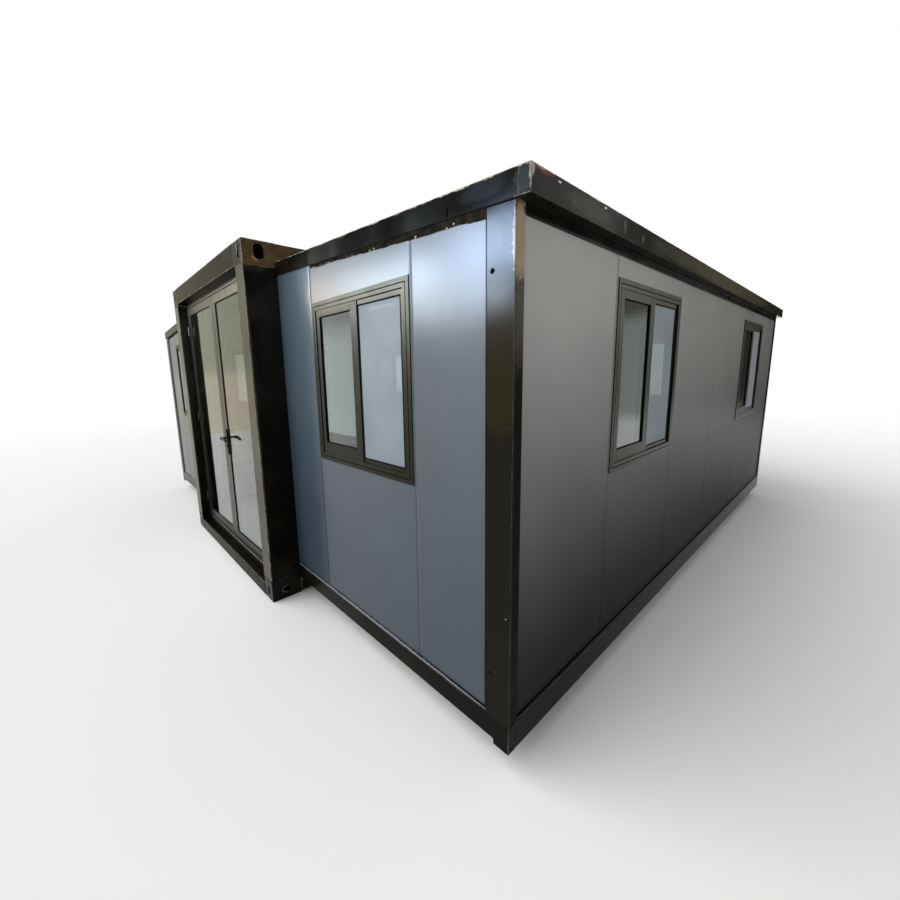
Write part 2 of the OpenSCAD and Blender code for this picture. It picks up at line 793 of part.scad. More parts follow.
// Edge channels of the side roofs, with a drain slot in each end
module roof_fascias() color(black) {
    drain_x = roof_x - drain_in;
    corners() difference() {
        roof_slab(core_x, roof_x, -wing_y, -wing_y + fascia_t, 0);
        translate([drain_x, -wing_y + cut_depth, roof_under(drain_x) + drain_up])
            rotate([90, 0, 0]) oval(drain_w, drain_h, cut_depth + eps);
    }
    both_sides()
        roof_slab(roof_x - fascia_t, roof_x, -wing_y + fascia_t + seat, wing_y - fascia_t - seat, 0);
}

// Bar of a window frame along X: flange, groove, front lip, two sash tracks and a back lip
module frame_bar(l)
    rotate([90, 0, 90])
        linear_extrude(l)
            polygon([[-flange_t, -flange_w], [0, -flange_w], [0, 0], [frame_back_y, 0],
                     [frame_back_y, win_bar], [back_lip_y, win_bar], [back_lip_y, track_z],
                     [lip_y + track_w + fin_t, track_z], [lip_y + track_w + fin_t, win_bar],
                     [lip_y + track_w, win_bar], [lip_y + track_w, track_z],
                     [lip_y, track_z], [lip_y, win_bar], [-flange_t, win_bar],
                     [-flange_t, groove_w], [groove_d - flange_t, groove_w],
                     [groove_d - flange_t, 0], [-flange_t, 0]]);

// Head or sill: a bar with a square of flange at each end, where the groove turns the corner
module frame_end_bar() difference() {
    union() {
        frame_bar(open_w);
        for (x = [-flange_w, open_w - eps])
            block([x, -flange_t, -flange_w], [x + flange_w + eps, 0, win_bar]);
    }
    for (x = [0, open_w - groove_w])
        block([x, -flange_t - eps, groove_w - eps], [x + groove_w, groove_d - flange_t, win_bar + eps]);
}

// Sash of an outer side bar, a meeting bar, a top bar and a foot, its lower outer corner at the origin
module sash() {
    x1 = sash_w - meet_bar;
    block([0, 0, 0], [sash_bar, sash_t, sash_h]);
    block([x1, 0, 0], [sash_w, sash_t, sash_h]);
    for (z = [[0, sash_foot], [sash_h - sash_bar, sash_h]])
        block([sash_bar + seat, 0, z[0]], [x1 - seat, sash_t, z[1]]);
}

module sash_glass()
    block([sash_bar + glass_gap, (sash_t - win_glass_t) / 2, sash_foot + glass_gap],
          [sash_w - meet_bar - glass_gap, (sash_t + win_glass_t) / 2, sash_h - sash_bar - glass_gap]);

// Frame of one window, its opening centred on X: head and sill over the full width, jambs between
module window_frame() {
    for (s = [0, 1])
        translate([0, 0, s * (open_z0 + open_z1)]) mirror([0, 0, s])
            translate([-open_w / 2, 0, open_z0]) frame_end_bar();
    for (s = [0, 1])
        mirror([s, 0, 0])
            translate([-open_w / 2, 0, open_z1 - win_bar - seat])
                rotate([0, 90, 0]) frame_bar(open_h - 2 * win_bar - 2 * seat);
}

// Places of a window's two sashes: the left one on the outer track, the right one turned round behind it
module sash_places() {
    x = clear_w / 2 - sash_room;
    z = open_z0 + track_z + seat;
    translate([-x, lip_y + sash_gap, z]) children();
    translate([x, lip_y + track_w + fin_t + sash_gap, z]) mirror([1, 0, 0]) children();
}

// Copies to the four windows of the right room: two in its side, one in each end
module right_windows() {
    for (i = side_windows)
        on_right_side() translate([(side_edges[i] + side_edges[i + 1]) / 2, 0, 0]) children();
    both_ends() on_front() translate([(end_p1 + end_p2) / 2, 0, 0]) children();
}

module right_window_frames() color(bronze) right_windows() window_frame();

module left_window_frames() color(bronze) mirror([1, 0, 0]) right_windows() window_frame();

module right_window_sashes() color(bronze) right_windows() sash_places() sash();

module left_window_sashes() color(bronze) mirror([1, 0, 0]) right_windows() sash_places() sash();

module right_window_glass() color(pane) right_windows() sash_places() sash_glass();

module left_window_glass() color(pane) mirror([1, 0, 0]) right_windows() sash_places() sash_glass();

core_posts();
top_castings();
bottom_castings();
top_end_beams();
bottom_end_beams();
top_side_rails();
bottom_side_rails();
core_floor();
core_joists();
core_roof();
core_back_wall();
door_frame();
door_hinge_pins();
left_door();
left_door_glass();
left_door_hinges();
right_door();
right_door_glass();
right_door_hinges();
lever_plates();
door_lever();
wing_floor_beams();
wing_joists();
wing_feet();
right_floor();
left_floor();
floor_hinges();
wing_corner_posts();
wall_rails();
right_side_wall();
left_side_wall();
right_front_wall();
right_back_wall();
left_front_wall();
left_back_wall();
right_roof();
left_roof();
roof_fascias();
right_window_frames();
left_window_frames();
right_window_sashes();
left_window_sashes();
right_window_glass();
left_window_glass();
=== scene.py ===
import math
from functools import partial
import bmesh
import bpy
import numpy as np
from mathutils import Matrix


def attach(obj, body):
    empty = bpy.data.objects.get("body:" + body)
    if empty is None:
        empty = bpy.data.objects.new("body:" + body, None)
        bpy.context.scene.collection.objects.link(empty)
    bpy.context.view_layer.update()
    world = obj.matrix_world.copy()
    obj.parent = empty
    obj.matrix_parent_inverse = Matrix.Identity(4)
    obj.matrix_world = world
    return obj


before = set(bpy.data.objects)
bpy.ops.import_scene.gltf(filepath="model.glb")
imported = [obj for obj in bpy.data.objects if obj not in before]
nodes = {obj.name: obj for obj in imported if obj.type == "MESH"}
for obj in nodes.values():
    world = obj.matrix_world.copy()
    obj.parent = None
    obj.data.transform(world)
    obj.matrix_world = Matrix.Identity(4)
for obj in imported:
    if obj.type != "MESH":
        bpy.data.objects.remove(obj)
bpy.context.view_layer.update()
scene = bpy.context.scene
print("frame:", len(nodes), "nodes")

# camera fitted to the photograph: place in metres, angles in degrees, focal length in pixels of the frame
photoView = {
    "place": (3.9327, -3.8983, 1.7013),
    "turn": 48.007,
    "pitch": -9.356,
    "roll": -1.2434,
    "focal": 394.18,
    "framePixels": 900,
    "sensorMm": 36.0,
    "shift": (0.02507, -0.01515),
    "farthest": 200.0,
}


def makeCamera(view):
    # turn about Z, tip about X from looking straight down, then roll about the line of sight
    data = bpy.data.cameras.new("photoCamera")
    data.sensor_width = view["sensorMm"]
    data.lens = view["focal"] / view["framePixels"] * view["sensorMm"]
    data.shift_x, data.shift_y = view["shift"]
    data.clip_end = view["farthest"]
    camera = bpy.data.objects.new("photoCamera", data)
    turn = Matrix.Rotation(math.radians(view["turn"]), 4, "Z")
    tip = Matrix.Rotation(math.radians(90 + view["pitch"]), 4, "X")
    roll = Matrix.Rotation(math.radians(view["roll"]), 4, "Z")
    camera.matrix_world = Matrix.Translation(view["place"]) @ turn @ tip @ roll
    scene.collection.objects.link(camera)
    scene.camera = camera


makeCamera(photoView)
print("camera placed")


def linear(hexText):
    # sRGB hex to linear light: v / 12.92 for the darkest values, else ((v + 0.055) / 1.055) ^ 2.4
    v = np.array([int(hexText[i:i + 2], 16) for i in (1, 3, 5)]) / 255
    v = np.where(v <= 0.04045, v / 12.92, ((v + 0.055) / 1.055) ** 2.4)
    return (*v.tolist(), 1.0)


def setInputs(node, links):
    # each input gets a value, another node's socket, or another node's first live output
    for name, value in links.items():
        if isinstance(value, bpy.types.Node):
            value = next(socket for socket in value.outputs if socket.enabled)
        if isinstance(value, bpy.types.NodeSocket):
            node.id_data.links.new(value, node.inputs[name])
        else:
            node.inputs[name].default_value = value


def addNode(tree, kind, links={}, **settings):
    # settings go to the node's properties, links to its inputs
    node = tree.nodes.new("ShaderNode" + kind)
    for name, value in settings.items():
        setattr(node, name, value)
    setInputs(node, links)
    return node


def newMaterial(name):
    material = bpy.data.materials.new(name)
    material.use_nodes = True
    add = partial(addNode, material.node_tree)
    place = add("TexCoord").outputs["Object"]
    return material, add, material.node_tree.nodes["Principled BSDF"], place


def setShine(add, shader, place, look):
    # one value, or a pair that runs with the height in metres from the dusty foot to the clean top
    shine = look["shine"]
    if isinstance(shine, tuple):
        height = add("SeparateXYZ", {"Vector": place}).outputs["Z"]
        low, high = look["shineZ"]
        shine = add("MapRange", {"Value": height, "From Min": low, "From Max": high,
                                 "To Min": shine[0], "To Max": shine[1]})
    setInputs(shader, {"Specular IOR Level": shine})


# pattern scales: a noise of scale s has features about 1 / s metres across, so scale = 1000 / size in mm
# a cover (start, end, most) grows from nothing to its most as the noise runs from start to end
# a bump is (strength, distance in metres)

# Gloss black enamel sprayed on welded steel: deep shine, light orange peel, olive dust, rust, and marks of
# rubbed paint and painted sheen
enamelLook = {
    "paint": "#0d0c09", "dust": "#2b281c", "bare": "#8a8475", "rust": "#5c4a30",
    "dustMm": 260, "chipMm": 60, "scratchMm": 14, "peelMm": 7, "peel": (0.05, 0.001),
    "dustCover": (0.48, 0.78, 0.45), "gloss": (0.08, 0.22), "glossDust": (0.3, 0.75),
    "shine": 0.07, "shineZ": (0.9, 2.3),
    # rust grows from its least cover to a full one, on a skin that starts these metres inside the face
    "rustStart": 0.25, "rustEnd": 0.60, "rustLeast": 0.50, "rustSkin": (0.004, 0.001),
    # a mark is full within the inner share of its reach, and its cover moves where the torn edge runs
    "marks": [], "markInner": 0.2, "markRim": 0.12, "markMost": 0.9, "tearStart": (1.05, 0.4),
    "tearEnd": (1.25, 0.3),
}


def blackEnamel(name, look):
    material, add, shader, place = newMaterial(name)
    dustNoise = add("TexNoise", {"Vector": place, "Scale": 1000 / look["dustMm"], "Detail": 6.0})
    start, end, most = look["dustCover"]
    dusty = add("MapRange", {"Value": dustNoise, "From Min": start, "From Max": end, "To Max": most})
    colour = add("Mix", {0: dusty, 6: linear(look["paint"]), 7: linear(look["dust"])}, data_type="RGBA")
    if "rustAt" in look:
        # rust on the long sides only: |X| past the given face, thinned by a noise
        chips = add("TexNoise", {"Vector": place, "Scale": 1000 / look["chipMm"], "Detail": 8.0})
        parts = add("SeparateXYZ", {"Vector": place})
        side = add("Math", {0: parts.outputs["X"]}, operation="ABSOLUTE")
        deep, thin = look["rustSkin"]
        onSide = add("MapRange", {"Value": side, "From Min": look["rustAt"] - deep,
                                  "From Max": look["rustAt"] - thin})
        patch = add("MapRange", {"Value": chips, "From Min": look["rustStart"],
                                 "From Max": look["rustEnd"], "To Min": look["rustLeast"]})
        rusty = add("Math", {0: onSide, 1: patch}, operation="MULTIPLY")
        colour = add("Mix", {0: rusty, 6: colour, 7: linear(look["rust"])}, data_type="RGBA")
    scratch = add("TexNoise", {"Vector": place, "Scale": 1000 / look["scratchMm"], "Detail": 5.0})
    (start, startFall), (end, endFall) = look["tearStart"], look["tearEnd"]
    for centre, reach, tone, cover in look["marks"]:
        # a mark fades with its distance from the centre over its reach on each axis, its edge torn by a noise
        away = add("VectorMath", {0: place, 1: centre}, operation="SUBTRACT")
        scaled = add("VectorMath", {0: away, 1: reach}, operation="DIVIDE")
        length = add("VectorMath", {0: scaled}, operation="LENGTH")
        near = add("MapRange", {"Value": length, "From Min": 1.0, "From Max": look["markInner"]})
        worn = add("Math", {0: near, 1: scratch}, operation="ADD")
        most = add("MapRange", {"Value": near, "From Max": look["markRim"], "To Max": look["markMost"]})
        amount = add("MapRange", {"Value": worn, "From Min": start - cover * startFall,
                                  "From Max": end - cover * endFall, "To Max": most})
        colour = add("Mix", {0: amount, 6: colour, 7: linear(tone)}, data_type="RGBA")
    (clean, full), (smooth, rough) = look["glossDust"], look["gloss"]
    gloss = add("MapRange", {"Value": dustNoise, "From Min": clean, "From Max": full,
                             "To Min": smooth, "To Max": rough})
    peel = add("TexNoise", {"Vector": place, "Scale": 1000 / look["peelMm"], "Detail": 2.0})
    strength, distance = look["peel"]
    bump = add("Bump", {"Height": peel, "Strength": strength, "Distance": distance})
    setInputs(shader, {"Base Color": colour, "Roughness": gloss, "Normal": bump})
    setShine(add, shader, place, look)
    return material


# The same enamel rubbed thin along its edges: undercoat in long patches between black ones, partly worn paint
# and partly a painted highlight on the edge; the cover moves where the patches start and end
rubbedAndHighlitLook = {**enamelLook, "roughness": 0.35, "cover": 0.45, "patchStart": (0.58, 0.3),
              "patchEnd": (0.72, 0.2)}


def rubbedAndHighlitEnamel(name, look):
    material, add, shader, place = newMaterial(name)
    noise = add("TexNoise", {"Vector": place, "Scale": 1000 / look["chipMm"], "Detail": 4.0})
    start, end = (edge - look["cover"] * fall for edge, fall in (look["patchStart"], look["patchEnd"]))
    amount = add("MapRange", {"Value": noise, "From Min": start, "From Max": end})
    mixed = add("Mix", {0: amount, 6: linear(look["paint"]), 7: linear(look["bare"])}, data_type="RGBA")
    setInputs(shader, {"Base Color": mixed, "Roughness": look["roughness"]})
    setShine(add, shader, place, look)
    return material


# Coil-coated steel sheet on sandwich panels: semi-gloss colour with painted shade toward the foot, slow waves
# in the sheet, pale lining inside
panelLook = {
    "inside": "#c9cac8", "speck": "#8d949b", "joint": "#1c1c1a",
    "toneMm": 900, "waveMm": 420, "speckMm": 9, "grainMm": 3, "seamMm": 14, "jointMm": (3.5, 1.5),
    "riseZ": (0.25, 2.25), "slow": (0.2, 0.8), "tone": (0.84, 1.14), "specks": (0.74, 0.80, 0.35),
    "jointCover": 0.45, "lining": 0.03, "wave": (0.08, 0.01), "roll": (0.6, 0.004), "grain": (0.03, 0.0005),
    "shineZ": (1.1, 2.2), "paintedSheenY": (-2.7, 2.7),
}
# upper and lower are the tones at the top and at the foot; the darker foot is painted shade
endLook = {
    **panelLook, "upper": "#6b7178", "lower": "#434b53", "axis": "Y", "faceAt": 2.722,
    "seams": (0.0, 1.576, 2.536), "gloss": (0.19, 0.25), "shine": 0.16, "paintedSheen": (1.0, 1.0),
    "first": {"to": 1.576, "upper": "#56646f", "lower": "#37434f"},
}
sideLook = {
    **panelLook, "upper": "#8f8f8d", "lower": "#202021", "axis": "X", "faceAt": 3.087,
    "seams": (-1.897, -0.937, 0.023, 0.983, 1.943), "gloss": (0.29, 0.34), "shine": (0.015, 0.085),
    # painted sheen, lighter at the front than at the back
    "paintedSheen": (1.18, 0.60),
}


def panelSheet(name, look):
    material, add, shader, place = newMaterial(name)
    parts = add("SeparateXYZ", {"Vector": place})
    # painted shade: the colour darkens from the upper tone to the lower one toward the foot
    low, high = look["riseZ"]
    rise = add("MapRange", {"Value": parts.outputs["Z"], "From Min": low, "From Max": high},
               interpolation_type="SMOOTHSTEP")
    colour = add("Mix", {0: rise, 6: linear(look["lower"]), 7: linear(look["upper"])}, data_type="RGBA")
    # panels follow each other along Y on a long wall, and along |X| on an end wall
    along = parts.outputs["Y"]
    if look["axis"] == "Y":
        along = add("Math", {0: parts.outputs["X"]}, operation="ABSOLUTE")
    if "first" in look:
        # the panel beside the core is darker and bluer
        first = look["first"]
        bluer = add("Mix", {0: rise, 6: linear(first["lower"]), 7: linear(first["upper"])},
                    data_type="RGBA")
        inner = add("Math", {0: along, 1: first["to"]}, operation="LESS_THAN")
        colour = add("Mix", {0: inner, 6: colour, 7: bluer}, data_type="RGBA")
    cloud = add("TexNoise", {"Vector": place, "Scale": 1000 / look["toneMm"], "Detail": 3.0})
    (least, most), (dark, light) = look["slow"], look["tone"]
    shade = add("MapRange", {"Value": cloud, "From Min": least, "From Max": most,
                             "To Min": dark, "To Max": light}, clamp=False)
    # painted sheen: the sheet is lighter toward the front and darker toward the back
    (front, back), (thick, thin) = look["paintedSheenY"], look["paintedSheen"]
    paintedSheen = add("MapRange", {"Value": parts.outputs["Y"], "From Min": front, "From Max": back,
                            "To Min": thick, "To Max": thin})
    shade = add("Math", {0: shade, 1: paintedSheen}, operation="MULTIPLY")
    colour = add("HueSaturation", {"Color": colour, "Value": shade})
    speck = add("TexNoise", {"Vector": place, "Scale": 1000 / look["speckMm"], "Detail": 2.0})
    start, end, full = look["specks"]
    specks = add("MapRange", {"Value": speck, "From Min": start, "From Max": end, "To Max": full})
    colour = add("Mix", {0: specks, 6: colour, 7: linear(look["speck"])}, data_type="RGBA")
    # distance to the nearest seam: the joint itself is a dark line, and the sheet rolls in beside it
    nearest = None
    for seam in look["seams"]:
        away = add("Math", {0: along, 1: seam}, operation="SUBTRACT")
        gap = add("Math", {0: away}, operation="ABSOLUTE")
        nearest = add("Math", {0: nearest, 1: gap}, operation="MINIMUM") if nearest else gap
    rim, middle = look["jointMm"]
    joint = add("MapRange", {"Value": nearest, "From Min": rim / 1000, "From Max": middle / 1000,
                             "To Max": look["jointCover"]})
    colour = add("Mix", {0: joint, 6: colour, 7: linear(look["joint"])}, data_type="RGBA")
    depth = add("Math", {0: parts.outputs[look["axis"]]}, operation="ABSOLUTE")
    inside = add("Math", {0: depth, 1: look["faceAt"] - look["lining"]}, operation="LESS_THAN")
    colour = add("Mix", {0: inside, 6: colour, 7: linear(look["inside"])}, data_type="RGBA")
    smooth, rough = look["gloss"]
    gloss = add("MapRange", {"Value": cloud, "From Min": least, "From Max": most,
                             "To Min": smooth, "To Max": rough}, clamp=False)
    wave = add("TexNoise", {"Vector": place, "Scale": 1000 / look["waveMm"], "Detail": 1.0})
    roll = add("MapRange", {"Value": nearest, "From Max": look["seamMm"] / 1000},
               interpolation_type="SMOOTHSTEP")
    grain = add("TexNoise", {"Vector": place, "Scale": 1000 / look["grainMm"], "Detail": 1.0})
    bump = None
    for height, (strength, distance) in ((wave, look["wave"]), (roll, look["roll"]), (grain, look["grain"])):
        below = {"Normal": bump} if bump else {}
        bump = add("Bump", {"Height": height, "Strength": strength, "Distance": distance, **below})
    setInputs(shader, {"Base Color": colour, "Roughness": gloss, "Normal": bump})
    setShine(add, shader, place, look)
    return material


# Bronze anodised aluminium, extruded: satin metal, faint die lines along each bar, dusty on ledges
bronzeLook = {"metal": "#312e26", "dust": "#221f19", "blotchMm": 90, "lineMm": 6, "roughness": (0.285, 0.38),
              "lines": (0.04, 0.0005)}


def bronzeAluminium(name, look):
    material, add, shader, place = newMaterial(name)
    blotch = add("TexNoise", {"Vector": place, "Scale": 1000 / look["blotchMm"], "Detail": 6.0})
    mixed = add("Mix", {0: blotch, 6: linear(look["metal"]), 7: linear(look["dust"])}, data_type="RGBA")
    smooth, rough = look["roughness"]
    gloss = add("MapRange", {"Value": blotch, "To Min": smooth, "To Max": rough})
    line = add("TexNoise", {"Vector": place, "Scale": 1000 / look["lineMm"], "Detail": 2.0})
    strength, distance = look["lines"]
    bump = add("Bump", {"Height": line, "Strength": strength, "Distance": distance})
    setInputs(shader, {"Base Color": mixed, "Metallic": 1.0, "Roughness": gloss, "Normal": bump})
    return material


# Float glass with a faint green body and a hard reflecting coat, with a few dull smears
glassLook = {"body": "#dfe9e4", "ior": 1.6, "smearMm": 60, "smears": (0.45, 0.8, 0.06)}


def floatGlass(name, look):
    material, add, shader, place = newMaterial(name)
    smear = add("TexNoise", {"Vector": place, "Scale": 1000 / look["smearMm"], "Detail": 7.0})
    start, end, dull = look["smears"]
    rough = add("MapRange", {"Value": smear, "From Min": start, "From Max": end, "To Max": dull})
    setInputs(shader, {"Base Color": linear(look["body"]), "Transmission Weight": 1.0,
                       "IOR": look["ior"], "Roughness": rough})
    return material


# Plain finishes, one colour broken up by one noise: base, second tone, grain in mm, roughness, metal, shine
plainLooks = {
    # satin black coating on the handle, vinyl floor board, zinc plate on steel
    "satinBlack": ("#0b0b0b", "#1b1a18", 12, (0.28, 0.45), 0.0, 0.10),
    "vinylBoard": ("#7c6b57", "#94826b", 180, (0.40, 0.55), 0.0, 0.10),
    "zincPlate": ("#8b8d8c", "#6f716f", 25, (0.30, 0.50), 1.0, 0.10),
    # moulded rubber, also used as painted shadow in two joints, cured sealant, dusty closing strip
    "rubberSealAndShadowGap": ("#060606", "#0d0d0c", 15, (0.50, 0.70), 0.0, 0.02),
    "sealant": ("#c4c3bd", "#8f8d86", 10, (0.45, 0.65), 0.0, 0.10),
    "brownStrip": ("#1a1815", "#322e27", 35, (0.60, 0.80), 0.0, 0.00),
    # enamel worn to its undercoat and enamel worn thin, both partly a painted highlight, bare weld, painted
    # weld
    "wornPaintAndHighlight": ("#716d61", "#b4b0a3", 12, (0.40, 0.60), 0.0, 0.03),
    "thinPaintAndHighlight": ("#33322d", "#5f5d55", 12, (0.35, 0.50), 0.0, 0.05),
    "weldBead": ("#75694d", "#2a2418", 8, (0.30, 0.55), 0.0, 0.10),
    "paintedWeld": ("#0d0c09", "#1d1b14", 8, (0.30, 0.55), 0.0, 0.04),
}
plainGrain = {"slow": (0.35, 0.65), "bump": (0.08, 0.001)}


def plainFinish(name, base, tone, grainMm, roughness, metal, shine):
    material, add, shader, place = newMaterial(name)
    noise = add("TexNoise", {"Vector": place, "Scale": 1000 / grainMm, "Detail": 6.0})
    (start, end), (strength, distance) = plainGrain["slow"], plainGrain["bump"]
    amount = add("MapRange", {"Value": noise, "From Min": start, "From Max": end})
    mixed = add("Mix", {0: amount, 6: linear(base), 7: linear(tone)}, data_type="RGBA")
    gloss = add("MapRange", {"Value": noise, "To Min": roughness[0], "To Max": roughness[1]})
    bump = add("Bump", {"Height": noise, "Strength": strength, "Distance": distance})
    setInputs(shader, {"Base Color": mixed, "Roughness": gloss, "Metallic": metal,
                       "Specular IOR Level": shine, "Normal": bump})
    return material


# Woven fibre insect screen: the pale threads are too fine to show, so an even part cover stands for the weave
screenLook = {"thread": "#8d979f", "cover": 0.74, "roughness": 0.6, "cloudMm": 1000 / 3, "slow": (0.3, 0.7),
              "tone": (0.85, 1.1)}


def insectScreen(name, look):
    material, add, shader, place = newMaterial(name)
    cloud = add("TexNoise", {"Vector": place, "Scale": 1000 / look["cloudMm"], "Detail": 3.0})
    (start, end), (dark, light) = look["slow"], look["tone"]
    tone = add("MapRange", {"Value": cloud, "From Min": start, "From Max": end,
                            "To Min": dark, "To Max": light})
    toned = add("HueSaturation", {"Color": linear(look["thread"]), "Value": tone})
    setInputs(shader, {"Base Color": toned, "Roughness": look["roughness"], "Alpha": look["cover"]})
    return material


# marks: middle and reach in metres, colour, cover
corners = [(sx, sy) for sx in (1, -1) for sy in (-1, 1)]
castingMarks = [((sx * 1.1, sy * 2.838, 2.520), (0.02, 0.050, 0.068), "#7a5430", 0.9) for sx, sy in corners]
castingMarks += [((sx * 1.1, sy * 2.862, 2.478), (0.02, 0.032, 0.028), "#a4683a", 0.9) for sx, sy in corners]
footMarks = [((sx * 1.1, sy * 2.847, 0.072), (0.02, 0.042, 0.036), "#5a5547", 0.8) for sx, sy in corners]
# painted sheen: olive-beige on the core's posts and darker olive along its end beams, standing for what they
# mirror
coreFrontSheen = [((sx * 1.03, sy * 2.95, 1.30), (0.20, 0.02, 1.90), "#4b4738", 0.9) for sx, sy in corners]
coreFrontSheen += [((0.0, sy * 2.95, z), (1.6, 0.02, 0.25), "#2c291f", 0.9)
               for sy in (-1, 1) for z in (0.05, 2.52)]
# painted highlight: a pale blue-grey line along the top of each end wall's rail
railHighlight = [((sx * 2.03, sy * 2.73, 0.250), (1.45, 0.02, 0.008), "#86868e", 0.95) for sx, sy in corners]
fasciaWearAndSheen = [
    # red primer rubbed bare beside the corner
    ((3.15, -2.650, 2.350), (0.02, 0.090, 0.026), "#6f3730", 0.55),
    ((3.15, -2.670, 2.352), (0.02, 0.075, 0.010), "#b98f7f", 0.7),
    ((3.15, -2.720, 2.335), (0.02, 0.018, 0.035), "#a39d8c", 0.7),
    # pale nicks under the edge
    ((3.15, -2.553, 2.336), (0.01, 0.012, 0.005), "#d8d5c9", 1.0),
    ((3.15, -2.446, 2.298), (0.01, 0.010, 0.005), "#a9a696", 1.0),
    ((3.15, -2.195, 2.338), (0.01, 0.014, 0.006), "#d8d5c9", 1.0),
    # grey and olive dust, a painted sheen over the far half, two upright scrapes
    ((3.15, -2.33, 2.305), (0.02, 0.26, 0.05), "#35332a", 0.6),
    ((3.15, -1.30, 2.310), (0.02, 0.50, 0.05), "#37352d", 0.6),
    ((3.12, -2.73, 2.310), (0.05, 0.02, 0.060), "#33393c", 0.6),
    ((2.95, -2.73, 2.330), (0.16, 0.02, 0.050), "#272c30", 0.6),
    # painted sheen: a lighter olive band along the far half of the side fascia
    ((3.15, 0.20, 2.310), (0.02, 1.90, 0.08), "#45422f", 0.8),
    ((3.15, -2.00, 2.312), (0.01, 0.012, 0.040), "#5d5a46", 0.8),
    ((3.15, -1.79, 2.300), (0.01, 0.014, 0.026), "#5d5a46", 0.8),
]
postWearAndSheen = [
    # dust film, red primer at the top, a tan painted highlight below it, olive painted reflections
    ((3.03, -2.73, 0.80), (0.22, 0.02, 1.70), "#1f1e19", 0.9),
    ((3.095, -2.705, 2.235), (0.02, 0.030, 0.034), "#84423a", 0.8),
    ((3.095, -2.70, 2.13), (0.02, 0.06, 0.17), "#94866a", 0.9),
    ((3.095, -2.70, 1.85), (0.02, 0.06, 0.22), "#332d20", 0.8),
    ((3.03, -2.73, 1.72), (0.16, 0.02, 0.34), "#2c281b", 0.9),
]
enamels = {
    "blackEnamel": {},
    "rustyEnamel": {"rustAt": 1.1, "marks": castingMarks},
    "scuffedSheenEnamel": {"paint": "#15140f", "marks": fasciaWearAndSheen},
    "postEnamel": {"shine": (0.02, 0.12), "shineZ": (1.65, 2.10), "marks": postWearAndSheen},
    "corePostEnamel": {"shine": (0.05, 0.26), "marks": coreFrontSheen},
    "coreBeamEnamel": {"shine": (0.01, 0.02), "marks": coreFrontSheen},
    "wallRailEnamel": {"shine": 0.04, "marks": railHighlight},
    "footEnamel": {"marks": footMarks},
    "floorFrameEnamel": {"shine": 0.04},
    "roofSheetEnamel": {"paint": "#191916", "gloss": (0.28, 0.42), "shine": 0.2},
}
# edge enamels: worn paint, partly a painted highlight on the rounded edges
rubbedAndHighlitEnamels = {
    "rubbedAndHighlitEnamel": {},
    "faintlyRubbedAndHighlitEnamel": {"bare": "#46453f"},
    "chippedAndHighlitEnamel": {"bare": "#aaa698", "cover": 0.8},
}
enamel = {name: blackEnamel(name, {**enamelLook, **own}) for name, own in enamels.items()}
enamel.update({name: rubbedAndHighlitEnamel(name, {**rubbedAndHighlitLook, **own}) for name, own in rubbedAndHighlitEnamels.items()})
endSheet = panelSheet("slateEndSheet", endLook)
sideSheet = panelSheet("greySideSheet", sideLook)
bronze = bronzeAluminium("bronzeAluminium", bronzeLook)
doorBronze = bronzeAluminium("doorBronzeAluminium", {**bronzeLook, "metal": "#4d493f", "dust": "#37342c"})
glass = floatGlass("floatGlass", glassLook)
screenCloth = insectScreen("insectScreenCloth", screenLook)
plain = {name: plainFinish(name, *look) for name, look in plainLooks.items()}
print("materials:", len(bpy.data.materials))

# each finish: the face's material, the rounded edge's material, the edge's width in mm and the nodes
rubbedLit, faintLit, chippedLit = (enamel[name] for name in rubbedAndHighlitEnamels)
finishes = [
    (enamel["corePostEnamel"], rubbedLit, 5, ["core_posts"]),
    (enamel["coreBeamEnamel"], rubbedLit, 5, ["top_end_beams", "bottom_end_beams"]),
    (enamel["blackEnamel"], rubbedLit, 5, ["bottom_side_rails"]),
    (enamel["rustyEnamel"], rubbedLit, 4, ["top_castings", "top_side_rails"]),
    (enamel["footEnamel"], None, 4, ["bottom_castings"]),
    (enamel["postEnamel"], faintLit, 4, ["wing_corner_posts"]),
    (enamel["floorFrameEnamel"], faintLit, 4, ["wing_floor_beams"]),
    (enamel["wallRailEnamel"], None, 2, ["wall_rails"]),
    (enamel["floorFrameEnamel"], None, 2, ["core_joists", "wing_joists", "floor_hinges"]),
    (enamel["scuffedSheenEnamel"], chippedLit, 4, ["roof_fascias"]),
    (enamel["roofSheetEnamel"], None, 0, ["core_roof", "right_roof", "left_roof"]),
    (endSheet, None, 1, ["core_back_wall", "right_front_wall", "right_back_wall", "left_front_wall",
                         "left_back_wall"]),
    (sideSheet, None, 1, ["right_side_wall", "left_side_wall"]),
    (doorBronze, None, 1.5, ["door_frame", "left_door", "right_door"]),
    (bronze, None, 1.5, ["right_window_sashes", "left_window_sashes"]),
    (bronze, None, 0.8, ["right_window_frames", "left_window_frames"]),
    (doorBronze, None, 0, ["door_hinge_pins", "left_door_hinges", "right_door_hinges"]),
    (glass, None, 0, ["left_door_glass", "right_door_glass", "right_window_glass", "left_window_glass"]),
    (plain["satinBlack"], None, 0.8, ["lever_plates"]),
    (plain["satinBlack"], None, 3, ["door_lever"]),
    (plain["vinylBoard"], None, 0, ["core_floor", "right_floor", "left_floor"]),
    (plain["zincPlate"], None, 0, ["wing_feet"]),
]
rounding = {"weld": 0.00005, "segments": 2, "sharperThan": 40, "faceWeight": 100}


